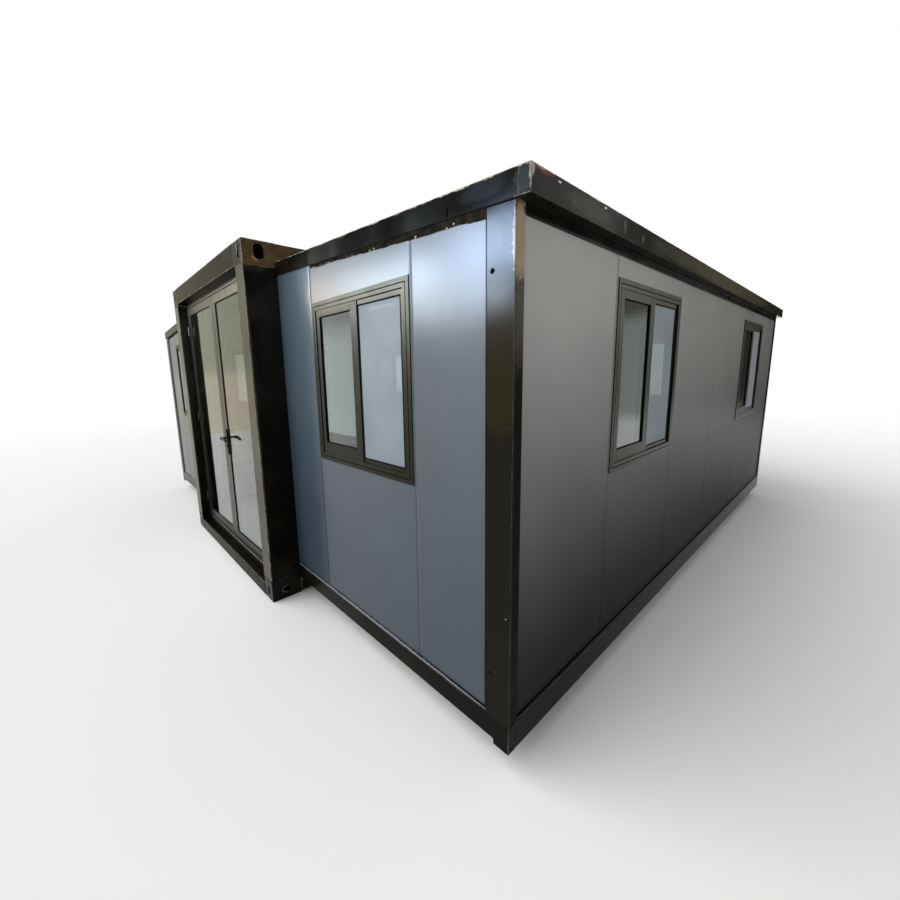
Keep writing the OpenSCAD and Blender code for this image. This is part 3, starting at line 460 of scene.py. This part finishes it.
def dressNode(node, material, edgeMaterial, roundMm, look):
    # joins the node's loose triangles, rounds its sharp edges and keeps its flat faces flat in the shading
    node.data.materials.clear()
    node.data.materials.append(material)
    if not roundMm:
        return
    if edgeMaterial:
        node.data.materials.append(edgeMaterial)
    weld = node.modifiers.new("joinCorners", "WELD")
    weld.merge_threshold = look["weld"]
    edge = node.modifiers.new("roundEdges", "BEVEL")
    edge.width = roundMm / 1000
    edge.segments = look["segments"]
    edge.limit_method = "ANGLE"
    edge.angle_limit = math.radians(look["sharperThan"])
    edge.material = len(node.data.materials) - 1
    even = node.modifiers.new("evenFaces", "WEIGHTED_NORMAL")
    even.weight = look["faceWeight"]


for material, edgeMaterial, roundMm, names in finishes:
    for name in names:
        dressNode(nodes[name], material, edgeMaterial, roundMm, rounding)
assert sorted(name for finish in finishes for name in finish[3]) == sorted(nodes)
print("nodes dressed")


def sweep(profile, path, normal, closed=False):
    # a profile (b, n) carried along a path: point = path + b * B + n * N, where N is the given normal and
    # B = T x N is mitred at each corner by (B1 + B2) / (1 + B1.B2)
    profile, path = np.asarray(profile, float), np.asarray(path, float)
    normal = np.asarray(normal, float) / np.linalg.norm(normal)
    step = np.roll(path, -1, axis=0) - path
    step = step if closed else step[:-1]
    side = np.cross(step / np.linalg.norm(step, axis=1, keepdims=True), normal)
    before = np.roll(side, 1, axis=0) if closed else np.vstack([side[:1], side])
    after = side if closed else np.vstack([side, side[-1:]])
    mitre = (before + after) / (1 + np.sum(before * after, axis=1, keepdims=True))
    points = path[:, None] + profile[None, :, :1] * mitre[:, None] + profile[None, :, 1:] * normal
    m, n = len(path), len(profile)
    i, j = np.meshgrid(np.arange(m if closed else m - 1), np.arange(n), indexing="ij")
    i2, j2 = (i + 1) % m, (j + 1) % n
    faces = np.stack([i * n + j, i2 * n + j, i2 * n + j2, i * n + j2], axis=-1).reshape(-1, 4).tolist()
    if not closed:
        faces += [list(range(n))[::-1], list(range((m - 1) * n, m * n))]
    return points.reshape(-1, 3), faces


def turned(profile, centre, axis, count):
    # a profile (radius, height) turned about an axis: point = centre + r (cos a U + sin a V) + h A
    profile, axis = np.asarray(profile, float), np.asarray(axis, float)
    u = np.cross(axis, (0, 0, 1) if abs(axis[2]) < 0.9 else (1, 0, 0))
    u = u / np.linalg.norm(u)
    v = np.cross(axis, u)
    a = np.linspace(0, 2 * math.pi, count, endpoint=False)
    ring = np.cos(a)[:, None] * u + np.sin(a)[:, None] * v
    points = np.asarray(centre) + profile[None, :, :1] * ring[:, None] + profile[None, :, 1:] * axis
    m, n = count, len(profile)
    i, j = np.meshgrid(np.arange(m), np.arange(n - 1), indexing="ij")
    i2 = (i + 1) % m
    faces = np.stack([i * n + j, i2 * n + j, i2 * n + j + 1, i * n + j + 1], axis=-1).reshape(-1, 4).tolist()
    faces += [(np.arange(m) * n).tolist(), (np.arange(m) * n + n - 1).tolist()]
    return points.reshape(-1, 3), faces


def grid(points):
    # a sheet over a table of points: each four neighbours make one face
    m, n = points.shape[:2]
    i, j = np.meshgrid(np.arange(m - 1), np.arange(n - 1), indexing="ij")
    faces = np.stack([i * n + j, (i + 1) * n + j, (i + 1) * n + j + 1, i * n + j + 1], axis=-1)
    return points.reshape(-1, 3), faces.reshape(-1, 4).tolist()


def makePiece(name, parts, material, body, smooth=35):
    # joins parts, each a list of points and faces, into one mesh with its faces pointing outwards
    starts = np.cumsum([0] + [len(points) for points, _ in parts])
    points = np.vstack([points for points, _ in parts])
    faces = [[k + start for k in face] for (_, fs), start in zip(parts, starts) for face in fs]
    mesh = bpy.data.meshes.new(name)
    mesh.from_pydata(points.tolist(), [], faces)
    work = bmesh.new()
    work.from_mesh(mesh)
    bmesh.ops.remove_doubles(work, verts=work.verts, dist=1e-6)
    bmesh.ops.recalc_face_normals(work, faces=work.faces)
    work.to_mesh(mesh)
    work.free()
    mesh.shade_smooth()
    mesh.set_sharp_from_angle(angle=math.radians(smooth))
    mesh.materials.append(material)
    piece = bpy.data.objects.new(name, mesh)
    scene.collection.objects.link(piece)
    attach(piece, body)


def mirrored(part, sx, sy):
    # x and y of every point times their signs
    return np.asarray(part[0]) * (sx, sy, 1), part[1]


def onCorners(part):
    # a part of the front right corner, repeated on all four
    return [mirrored(part, sx, -sy) for sx, sy in corners]


def inWall(wall, points):
    # points (right, inward, up) of a wall as seen from outside, put into the house's frame
    centre, right, inward = (np.asarray(v, float) for v in wall)
    points = np.asarray(points, float)
    up = np.array([0, 0, 1.0])
    return centre + points[..., :1] * right + points[..., 1:2] * inward + points[..., 2:] * up


def wallSweep(wall, profile, path, out=1, closed=False):
    # sweeps along a path on a wall; b counts to the right of the path as seen from outside, n to the outside
    hand = np.sign(np.cross(wall[1], wall[2])[2])
    profile = np.asarray(profile, float) * (hand * out, 1)
    return sweep(profile, inWall(wall, path), -out * np.asarray(wall[2], float), closed)


def rectangle(x0, x1, y, z0, z1):
    # the corners of an upright rectangle at the depth y
    return [(x0, y, z0), (x0, y, z1), (x1, y, z1), (x1, y, z0)]


# every window's wall: a point on its face under the window's middle, its right and its inward direction
windowWalls = [((s * 3.087, y, 0), (0, s, 0), (-s, 0, 0)) for s in (1, -1) for y in (-1.417, 1.463)]
windowWalls += [((s * 2.056, e * 2.722, 0), (s, 0, 0), (0, -e, 0)) for s in (1, -1) for e in (-1, 1)]

# rubber round each pane and in the groove round the frame, in metres: sight opening of the outer sash, both
# sashes' faces, how deep the rubber sits, and the groove
gasketSizes = {
    "sightX": (-0.383, -0.032), "sightZ": (1.2713, 2.0380), "outer": -0.0006, "inner": 0.0272, "sash": 0.024,
    "seat": 0.009, "lip": 0.005, "rise": 0.007, "slope": 0.4,
    "grooveX": (-0.448, 0.448), "grooveZ": (1.182, 2.103), "grooveWide": 0.005, "grooveDeep": -0.0025,
    "cordGap": 0.0004, "cordSide": 0.0012, "cordTop": 0.002,
}


def makeGaskets(sizes):
    # a wedge-shaped lip outside and inside each pane, and a domed cord in the groove, swept round rectangles
    lip, rise, gap, wide = (sizes[key] for key in ("lip", "rise", "cordGap", "grooveWide"))
    side, top, seat = (sizes[key] for key in ("cordSide", "cordTop", "seat"))
    wedge = [(0, 0), (lip, 0), (lip, rise * sizes["slope"]), (0, rise)]
    cord = [(gap, 0), (wide - gap, 0), (wide - gap, side), (wide / 2, top), (gap, side)]
    groove = rectangle(*sizes["grooveX"], sizes["grooveDeep"], *sizes["grooveZ"])
    parts = []
    for wall in windowWalls:
        for depth, flip in ((sizes["outer"], 1), (sizes["inner"], -1)):
            x0, x1 = sorted(flip * v for v in sizes["sightX"])
            for face, out in ((depth + seat, 1), (depth + sizes["sash"] - seat, -1)):
                pane = rectangle(x0, x1, face, *sizes["sightZ"])
                parts.append(wallSweep(wall, wedge, pane, out, closed=True))
        parts.append(wallSweep(wall, cord, groove, closed=True))
    makePiece("windowGaskets", parts, plain["rubberSealAndShadowGap"], "house")


# insect screen beside the outer sash, in the same track: three flat bars, a rubber cord and a slack cloth
screenSizes = {
    "x": (0.0355, 0.4305), "z": (1.1985, 2.0835), "face": 0.004, "bar": 0.030, "thick": 0.012, "round": 0.001,
    "cord": 0.006, "cordFoot": -0.003, "cordSide": 0.0008, "cordTop": 0.002,
    "clothIn": 0.003, "slack": 0.0006, "slackX": 19, "slackZ": 11, "threads": (24, 48),
}


def makeScreens(sizes):
    # bars and cord are profiles (b, n) swept round the opening; the cloth is a grid over it that hangs slack
    # by a product of two slow sines
    (x0, x1), (z0, z1), face = sizes["x"], sizes["z"], sizes["face"]
    bar, thick, edge = sizes["bar"], sizes["thick"], sizes["round"]
    cord, foot, side, top = (sizes[key] for key in ("cord", "cordFoot", "cordSide", "cordTop"))
    barProfile = [(0, -thick), (0, -edge), (edge, 0), (bar - edge, 0), (bar, -edge), (bar, -thick)]
    cordProfile = [(0, foot), (0, side), (cord * 0.5, top), (cord, side), (cord, foot)]
    barPath = [(x0, face, z1), (x1, face, z1), (x1, face, z0), (x0, face, z0)]
    cordPath = rectangle(x0, x1 - bar, face, z0 + bar, z1 - bar)
    across, up = np.meshgrid(np.linspace(x0, x1 - bar, sizes["threads"][0]),
                             np.linspace(z0 + bar, z1 - bar, sizes["threads"][1]), indexing="ij")
    slack = sizes["slack"] * np.sin(sizes["slackX"] * across) * np.sin(sizes["slackZ"] * up)
    cloth = np.stack([across, face + sizes["clothIn"] + slack, up], axis=-1)
    cloths = [grid(inWall(wall, cloth)) for wall in windowWalls]
    bars = [wallSweep(wall, barProfile, barPath) for wall in windowWalls]
    cords = [wallSweep(wall, cordProfile, cordPath, closed=True) for wall in windowWalls]
    makePiece("insectScreens", cloths, screenCloth, "house")
    makePiece("screenBars", bars, bronze, "house")
    makePiece("screenCords", cords, plain["rubberSealAndShadowGap"], "house")


# rubber round the door panes on each leaf: sight opening, outer and inner faces with the rise of their lips
doorSeal = {"x": (0.074, 0.831), "z": (0.243, 2.323), "outer": (-2.8627, 0.005), "inner": (-2.8507, 0.010),
            "lip": 0.007, "slope": 0.4}


def makeDoorSeal(body, side, sizes):
    # a wedge-shaped lip swept round the pane, outside and inside
    doorWall = ((0, 0, 0), (1, 0, 0), (0, 1, 0))
    x0, x1 = sorted(side * v for v in sizes["x"])
    lip = sizes["lip"]
    parts = []
    for (face, rise), out in ((sizes["outer"], 1), (sizes["inner"], -1)):
        wedge = [(0, 0), (lip, 0), (lip, rise * sizes["slope"]), (0, rise)]
        parts.append(wallSweep(doorWall, wedge, rectangle(x0, x1, face, *sizes["z"]), out, closed=True))
    makePiece(body + "Seal", parts, plain["rubberSealAndShadowGap"], body)


makeGaskets(gasketSizes)
makeScreens(screenSizes)
makeDoorSeal("left_leaf", -1, doorSeal)
makeDoorSeal("right_leaf", 1, doorSeal)
print("seals and screens made")

random = np.random.default_rng(7)


def smoothNoise(n, samples, divisor):
    # n values, each the sum of its neighbouring normal draws over the divisor
    return np.convolve(random.normal(0, 1, n + samples - 1), np.ones(samples) / divisor, "valid")


# brown closing strip under each end fascia: it grows taller away from the core and its lower edge is ragged,
# with dots of sealant on it
roofSlope = {"edgeX": 3.15, "edgeZ": 2.26, "rise": 0.05766}
stripSizes = {"x": (1.60, 2.970), "wall": 2.722, "gap": 0.0003, "thick": 0.004, "height": (0.016, 0.036),
              "drop": 0.0005, "ragged": 0.0018, "smooth": (9, 3), "count": 220}
dotSizes = {"count": 11, "ends": 4, "radius": (0.0025, 0.0065), "lift": (-0.001, 0.010), "foot": -0.001,
            "shoulder": (0.8, 0.3), "crown": 0.45, "sides": 10}


def roofUnder(x):
    # underside of the side roof: its height at the edge, and its rise for each metre toward the core
    return roofSlope["edgeZ"] + (roofSlope["edgeX"] - x) * roofSlope["rise"]


def closingStrip(sizes):
    # lower edge = underside - (h0 + (h1 - h0) t) + a smooth noise; four corners carried along X
    n = sizes["count"]
    x, t = np.linspace(*sizes["x"], n), np.linspace(0, 1, n)
    rough = smoothNoise(n, *sizes["smooth"]) * sizes["ragged"]
    top = roofUnder(x) - sizes["drop"]
    least, most = sizes["height"]
    low = top - least - (most - least) * t + rough
    back, front = -sizes["wall"] - sizes["gap"], -sizes["wall"] - sizes["thick"]
    ring = [(back, top), (front, top), (front, low), (back, low), (back, top)]
    points = np.stack([np.stack([x, np.full(n, y), z], axis=-1) for y, z in ring], axis=1)
    return grid(points), np.stack([x, np.full(n, front), low], axis=-1)


def sealantDot(edge, sizes):
    # a low dome (radius, height) turned about the outward direction, at a point of the strip's lower edge
    size, foot = random.uniform(*sizes["radius"]), sizes["foot"]
    lift = random.uniform(*sizes["lift"])
    across, high = sizes["shoulder"]
    dome = [(0.0, foot), (size, foot), (size * across, size * high), (0.0, size * sizes["crown"])]
    return turned(dome, edge + (0, 0, lift), (0, -1, 0), sizes["sides"])


stripParts, sealantParts = [], []
for sx, sy in corners:
    strip, lowerEdge = closingStrip(stripSizes)
    stripParts.append(mirrored(strip, sx, -sy))
    for k in random.integers(dotSizes["ends"], stripSizes["count"] - dotSizes["ends"], dotSizes["count"]):
        sealantParts.append(mirrored(sealantDot(lowerEdge[k], dotSizes), sx, -sy))
makePiece("closingStrips", stripParts, plain["brownStrip"], "house")

# painted shadow: black strips in the joint beside each outer post and in the joint between the post and the
# fascia, two flat cords
shadowGapSizes = {"post": (2.9728, -2.7255), "footZ": 0.258, "wide": 0.006, "thick": 0.003,
              "capX": (2.974, 3.094), "capY": -2.7302, "capHigh": 0.008, "capThick": 0.0006}


def makeShadowGapCords(sizes):
    # a rectangle (b, n) swept down the post and along the underside of the fascia
    (x, y), wide, thick = sizes["post"], sizes["wide"], sizes["thick"]
    top = roofUnder(x) - stripSizes["height"][1]
    cord = [(0, 0), (0, -thick), (-wide, -thick), (-wide, 0)]
    upright = sweep(cord, [(x, y, top), (x, y, sizes["footZ"])], (0, 1, 0))
    high, thin = sizes["capHigh"], sizes["capThick"]
    capCord = [(0, 0), (0, -thin), (-high, -thin), (-high, 0)]
    capPath = [(capX, sizes["capY"], roofUnder(capX) - stripSizes["drop"]) for capX in sizes["capX"]]
    level = sweep(capCord, capPath, (0, 1, 0))
    parts = [part for pair in zip(onCorners(upright), onCorners(level)) for part in pair]
    makePiece("shadowGapCords", parts, plain["rubberSealAndShadowGap"], "house")


makeShadowGapCords(shadowGapSizes)

# sealant along the joint of each side roof with the core rail: a hollow fillet
filletSizes = {"x": 1.1, "z": 2.4682, "y": (-2.70, 2.70), "count": 80, "size": 0.014, "toe": 0.06,
               "hollow": 0.4}


def sealantFillet(sx, sizes):
    # a hollow triangle (b, n) swept along the joint, always with the core on its left
    size, toe, hollow = sizes["size"], sizes["size"] * sizes["toe"], sizes["size"] * sizes["hollow"]
    fillet = [(0, 0), (-size, -toe), (-hollow, hollow), (0, size)]
    y = np.linspace(*sizes["y"], sizes["count"])[::sx]
    path = np.stack([np.full_like(y, sx * sizes["x"]), y, np.full_like(y, sizes["z"])], axis=-1)
    return sweep(fillet, path, (0, 0, 1))


sealantParts += [sealantFillet(sx, filletSizes) for sx in (1, -1)]
makePiece("sealantBeads", sealantParts, plain["sealant"], "house")

# weld beads of the front right corner, repeated on the other three: start, end, outward direction, radius
weldLines = {
    "weldBead": [
        ((1.1, -2.946, 2.430), (1.1, -2.734, 2.430), (1, 0, 0), 0.0042),
        ((0.956, -2.95, 2.430), (1.096, -2.95, 2.430), (0, -1, 0), 0.0042),
        ((1.1, -2.722, 2.474), (1.1, -2.722, 2.586), (1, 0, 0), 0.0040),
        ((0.952, -2.95, 2.448), (0.952, -2.95, 2.586), (0, -1, 0), 0.0036),
        ((3.105, -2.73, 2.268), (3.105, -2.73, 2.346), (0, -1, 0), 0.0022),
    ],
    "paintedWeld": [
        ((1.1, -2.946, 0.160), (1.1, -2.734, 0.160), (1, 0, 0), 0.0042),
        ((0.956, -2.95, 0.160), (1.096, -2.95, 0.160), (0, -1, 0), 0.0042),
        ((0.952, -2.95, 0.004), (0.952, -2.95, 0.103), (0, -1, 0), 0.0036),
        ((2.977, -2.73, 0.240), (3.091, -2.73, 0.240), (0, -1, 0), 0.0030),
        ((3.095, -2.726, 0.240), (3.095, -2.678, 0.240), (1, 0, 0), 0.0030),
    ],
}
beadShape = {"step": 0.0018, "ripple": 0.0045, "sides": 8, "tuck": 0.2, "flat": 0.7, "smooth": 60,
             "base": 0.86, "rippled": 0.18, "swollen": 0.1, "swell": 90}


def weldBead(start, end, out, radius):
    # half-round ridge: point = line + r (cos a B + sin a N), with r rippled and slowly swollen along the line
    start, end, out = (np.asarray(v, float) for v in (start, end, out))
    length = np.linalg.norm(end - start)
    t = np.linspace(0, length, int(length / beadShape["step"]) + 2)
    a = np.linspace(-beadShape["tuck"], math.pi + beadShape["tuck"], beadShape["sides"])
    ripple = np.abs(np.sin(math.pi * t / beadShape["ripple"]))
    swell = np.sin(t * beadShape["swell"])
    r = radius * (beadShape["base"] + beadShape["rippled"] * ripple + beadShape["swollen"] * swell)
    side = np.cross((end - start) / length, out)
    ring = np.cos(a)[:, None] * side + (np.sin(a) * beadShape["flat"])[:, None] * out
    return grid(start + t[:, None, None] * (end - start) / length + r[:, None, None] * ring)


for name, lines in weldLines.items():
    weldParts = [mirrored(weldBead(*line), sx, -sy) for sx, sy in corners for line in lines]
    makePiece(name + "s", weldParts, plain[name], "house", beadShape["smooth"])

# paint worn off the front right corner's edges, partly a painted highlight along them, repeated on the other
# three:
# start, end, the two faces' outward directions, widest wear in metres and how much of the line is worn
wornAndHighlitEdges = {
    "wornPaintAndHighlight": [
        ((3.15, -2.73, 2.264), (3.15, -2.73, 2.349), (0, -1, 0), (1, 0, 0), 0.007, 0.95),
        ((1.12, -2.73, 2.467), (3.148, -2.73, 2.350), (0, -1, 0), (0, 0, 1), 0.006, 0.75),
        ((3.15, -2.728, 2.350), (3.15, -0.2, 2.350), (1, 0, 0), (0, 0, 1), 0.005, 0.55),
        ((3.085, -2.73, 2.2641), (3.148, -2.73, 2.2604), (0, -1, 0), (0, 0, -1), 0.004, 0.7),
        ((1.1, -2.95, 0.175), (1.1, -2.95, 2.415), (0, -1, 0), (1, 0, 0), 0.0035, 0.7),
        ((1.1, -2.95, 2.44), (1.1, -2.95, 2.585), (0, -1, 0), (1, 0, 0), 0.006, 0.95),
        ((1.1, -2.94, 2.59), (1.1, -2.72, 2.59), (1, 0, 0), (0, 0, 1), 0.005, 0.8),
    ],
    "thinPaintAndHighlight": [
        ((3.095, -2.73, 0.26), (3.095, -2.73, 2.255), (0, -1, 0), (1, 0, 0), 0.0018, 0.45),
        ((3.095, -2.73, 0.115), (3.095, -2.73, 0.238), (0, -1, 0), (1, 0, 0), 0.004, 0.75),
        ((1.16, -2.73, 0.24), (3.09, -2.73, 0.24), (0, -1, 0), (0, 0, 1), 0.003, 0.50),
        ((3.095, -2.60, 0.24), (3.095, -0.1, 0.24), (1, 0, 0), (0, 0, 1), 0.003, 0.40),
        ((0.95, -2.95, 2.59), (0.0, -2.95, 2.59), (0, -1, 0), (0, 0, 1), 0.004, 0.50),
        ((0.95, -2.95, 2.444), (0.0, -2.95, 2.444), (0, -1, 0), (0, 0, -1), 0.004, 0.60),
        ((0.95, -2.95, 0.107), (0.0, -2.95, 0.107), (0, -1, 0), (0, 0, 1), 0.004, 0.60),
    ],
}
wearAndHighlightShape = {"step": 0.004, "counts": (24, 420), "start": 0.35, "slow": 0.30, "slowOver": (13, 3.6),
             "quick": 0.18, "quickOver": (3, 1.7), "lift": 0.0004}


def wornAndHighlitEdge(start, end, faceA, faceB, wide, share):
    # two narrow ribbons that meet on the edge: p1 = P - w1 Nb + e Na, p2 = P + e (Na + Nb) and
    # p3 = P - w2 Na + e Nb, where each width follows a smooth noise cut off below so that the line breaks
    start, end, na, nb = (np.asarray(v, float) for v in (start, end, faceA, faceB))
    least, most = wearAndHighlightShape["counts"]
    n = max(least, min(most, int(np.linalg.norm(end - start) / wearAndHighlightShape["step"])))
    line = start + np.linspace(0, 1, n)[:, None] * (end - start)
    widths = []
    for _ in range(2):
        slow = smoothNoise(n, *wearAndHighlightShape["slowOver"])
        quick = smoothNoise(n, *wearAndHighlightShape["quickOver"])
        worn = share - wearAndHighlightShape["start"] + wearAndHighlightShape["slow"] * slow + wearAndHighlightShape["quick"] * quick
        widths.append(wide * np.clip(worn, 0.0, 1.0)[:, None])
    lift = wearAndHighlightShape["lift"]
    ribbons = [line - widths[0] * nb + lift * na, line + lift * (na + nb), line - widths[1] * na + lift * nb]
    return grid(np.stack(ribbons, axis=1))


for name, edges in wornAndHighlitEdges.items():
    wornAndHighlitParts = [mirrored(wornAndHighlitEdge(*edge), sx, -sy) for sx, sy in corners for edge in edges]
    makePiece(name + "Edges", wornAndHighlitParts, plain[name], "house")

# rivet and screw of each outer post: place, outward direction and radius in metres
rivetPlaces = [((3.095, -2.703, 2.012), (1, 0, 0), 0.006), ((3.075, -2.73, 0.727), (0, -1, 0), 0.004)]
# the head's profile: share of the radius, height in metres
rivetShape = {"profile": [(0, -0.001), (1, -0.001), (1, 0.0008), (0.75, 0.0024), (0.35, 0.0034), (0, 0.0036)],
              "sides": 14}


def rivetHead(place, out, radius):
    # a domed head with a rim: a profile (radius, height) turned about the outward direction
    dome = [(radius * share, height) for share, height in rivetShape["profile"]]
    return turned(dome, place, out, rivetShape["sides"])


rivetParts = [part for rivet in rivetPlaces for part in onCorners(rivetHead(*rivet))]
makePiece("postRivets", rivetParts, plain["zincPlate"], "house")
print("strips, sealant, welds and rivets made")

# floor, world and lamps: pale floor that keeps the shadow, white surroundings, one broad soft lamp, and soft
# cards that only shine in the gloss
alongX, alongY = (1, 0, 0), (0, 1, 0)
studio = {
    "floor": "#f4f4f2", "floorRoughness": 0.9, "floorShine": 0.1, "floorHalf": 60, "floorFade": (5.5, 16.0),
    "ambient": 0.50, "sun": 2.3, "sunFrom": (-0.40, -0.62, 0.68), "sunAt": (0, 0, 10), "sunSoft": 60,
    # cards: middle, level direction, width and height in metres, brightness against white, colour, soft edge
    "cards": [
        # in front, mirrored by the end wall, its window and its post
        ((-0.45, -7.0, 3.72), alongX, 1.9, 1.00, 76.0, "#c2ddff", 0.35),
        ((-2.30, -7.0, 3.62), alongX, 1.5, 0.80, 78.0, "#d6ebff", 0.4),
        ((-0.55, -7.0, 2.98), alongX, 1.5, 0.60, 56.0, "#dcecff", 0.4),
        ((-1.95, -7.0, 2.92), alongX, 1.2, 0.50, 50.0, "#eef3ff", 0.4),
        ((-4.00, -7.0, 3.60), alongX, 2.1, 1.00, 52.0, "#e2eef4", 0.5),
        ((-6.30, -7.0, 3.77), alongX, 2.2, 0.80, 28.0, "#ffe9d2", 0.6),
        ((-5.75, -7.1, 1.0), alongX, 2.6, 4.80, 2.2, "#e4efec", 0.4),
        ((-8.20, -7.0, 5.05), alongX, 1.1, 0.90, 18.0, "#f4f2ea", 0.5),
        # to the left, mirrored by the door and the core's front
        ((-9.0, -5.4, 0.80), alongY, 4.6, 2.4, 1.20, "#e2d8c2", 0.35),
        ((-9.1, -5.4, 3.6), alongY, 4.6, 4.6, 1.12, "#c6c4b0", 0.15),
        # behind, mirrored by the long wall and its windows
        ((9.6, 9.0, 4.0), alongX, 3.2, 4.8, 6.0, "#f4f4f0", 0.7),
        ((5.9, 9.1, 3.4), alongX, 5.6, 6.8, 0.22, "#e2ddc8", 0.3),
        ((3.9, 9.0, 3.4), alongX, 2.0, 6.8, 0.04, "#e2ddc8", 0.3),
        ((7.05, 9.0, 1.7), alongX, 1.4, 3.6, 0.70, "#ccd6ce", 0.3),
        # in front, above the others, so that the upper panels mirror less white
        ((-4.2, -7.2, 5.9), alongX, 13.0, 4.2, 0.12, "#d0d4d8", 0.1),
        # to the right, mirrored by the upper side of the core's post
        ((9.0, 0.2, 3.4), alongY, 4.4, 2.2, 0.03, "#d0d4d8", 0.15),
    ],
}


def makeWorld(look):
    # white for the camera, in gloss and through glass, and a plain ambient level for everything else
    world = bpy.data.worlds.new("paleStudio")
    scene.world = world
    world.use_nodes = True
    add = partial(addNode, world.node_tree)
    ray = add("LightPath").outputs
    seen = add("Math", {0: ray["Is Camera Ray"], 1: ray["Is Glossy Ray"]}, operation="MAXIMUM")
    shown = add("Math", {0: seen, 1: ray["Is Transmission Ray"]}, operation="MAXIMUM")
    level = add("MapRange", {"Value": shown, "To Min": look["ambient"], "To Max": 1.0})
    setInputs(world.node_tree.nodes["Background"], {"Color": (1, 1, 1, 1), "Strength": level})


def makeFloor(look):
    material, add, shader, place = newMaterial("paleFloor")
    setInputs(shader, {"Base Color": linear(look["floor"]), "Roughness": look["floorRoughness"],
                       "Specular IOR Level": look["floorShine"]})
    # far from the house the floor turns plain white for the camera, so that no horizon line shows
    far = add("VectorMath", {0: place}, operation="LENGTH")
    start, end = look["floorFade"]
    fade = add("MapRange", {"Value": far, "From Min": start, "From Max": end},
               interpolation_type="SMOOTHSTEP")
    ray = add("LightPath").outputs
    white = add("Emission", {"Strength": 1.0})
    share = add("Math", {0: fade, 1: ray["Is Camera Ray"]}, operation="MULTIPLY")
    both = add("MixShader", {0: share, 1: shader, 2: white})
    setInputs(material.node_tree.nodes["Material Output"], {"Surface": both})
    half = look["floorHalf"]
    addStage("paleFloor", [(-half, -half, 0), (half, -half, 0), (half, half, 0), (-half, half, 0)], material)


def softCard(middle, level, width, height, bright, colour, soft):
    # a glowing sheet that is clear toward its rim: cover = fall(level distance) * fall(height), each falling
    # from 1 to 0 at the edge
    material = bpy.data.materials.new("softCard")
    material.use_nodes = True
    material.node_tree.nodes.clear()
    add = partial(addNode, material.node_tree)
    place = add("TexCoord").outputs["Object"]
    away = add("VectorMath", {0: place, 1: middle}, operation="SUBTRACT")
    cover = 1.0
    for direction, half in ((level, width / 2), ((0, 0, 1), height / 2)):
        along = add("VectorMath", {0: away, 1: direction}, operation="DOT_PRODUCT")
        far = add("Math", {0: along}, operation="ABSOLUTE")
        fall = add("MapRange", {"Value": far, "From Min": half, "From Max": half * (1 - soft)},
                   interpolation_type="SMOOTHSTEP")
        cover = add("Math", {0: fall, 1: cover}, operation="MULTIPLY")
    glow = add("Emission", {"Color": linear(colour), "Strength": bright})
    clear = add("BsdfTransparent")
    both = add("MixShader", {0: cover, 1: clear, 2: glow})
    add("OutputMaterial", {"Surface": both})
    middle, level, up = (np.asarray(v) for v in (middle, level, (0, 0, 1)))
    signs = ((-1, -1), (1, -1), (1, 1), (-1, 1))
    points = [(middle + a * level * width / 2 + b * up * height / 2).tolist() for a, b in signs]
    card = addStage("softCard", points, material)
    card.visible_camera = card.visible_diffuse = card.visible_shadow = False


def addStage(name, points, material):
    # a four-cornered sheet that belongs to the studio and not to the house
    mesh = bpy.data.meshes.new(name)
    mesh.from_pydata(points, [], [(0, 1, 2, 3)])
    mesh.materials.append(material)
    sheet = bpy.data.objects.new(name, mesh)
    scene.collection.objects.link(sheet)
    return sheet


def makeSun(look):
    # the lamp shines along its own -Z: Z points to where the light comes from, X lies level
    data = bpy.data.lights.new("broadLamp", "SUN")
    data.energy = look["sun"]
    data.angle = math.radians(look["sunSoft"])
    z = np.asarray(look["sunFrom"], float)
    z = z / np.linalg.norm(z)
    x = np.cross((0, 0, 1), z)
    x = x / np.linalg.norm(x)
    matrix = np.eye(4)
    matrix[:3] = np.stack([x, np.cross(z, x), z, look["sunAt"]], axis=1)
    sun = bpy.data.objects.new("broadLamp", data)
    sun.matrix_world = Matrix(matrix.tolist())
    scene.collection.objects.link(sun)


makeWorld(studio)
makeFloor(studio)
makeSun(studio)
for card in studio["cards"]:
    softCard(*card)
scene.view_settings.view_transform = "Standard"
print("studio set")
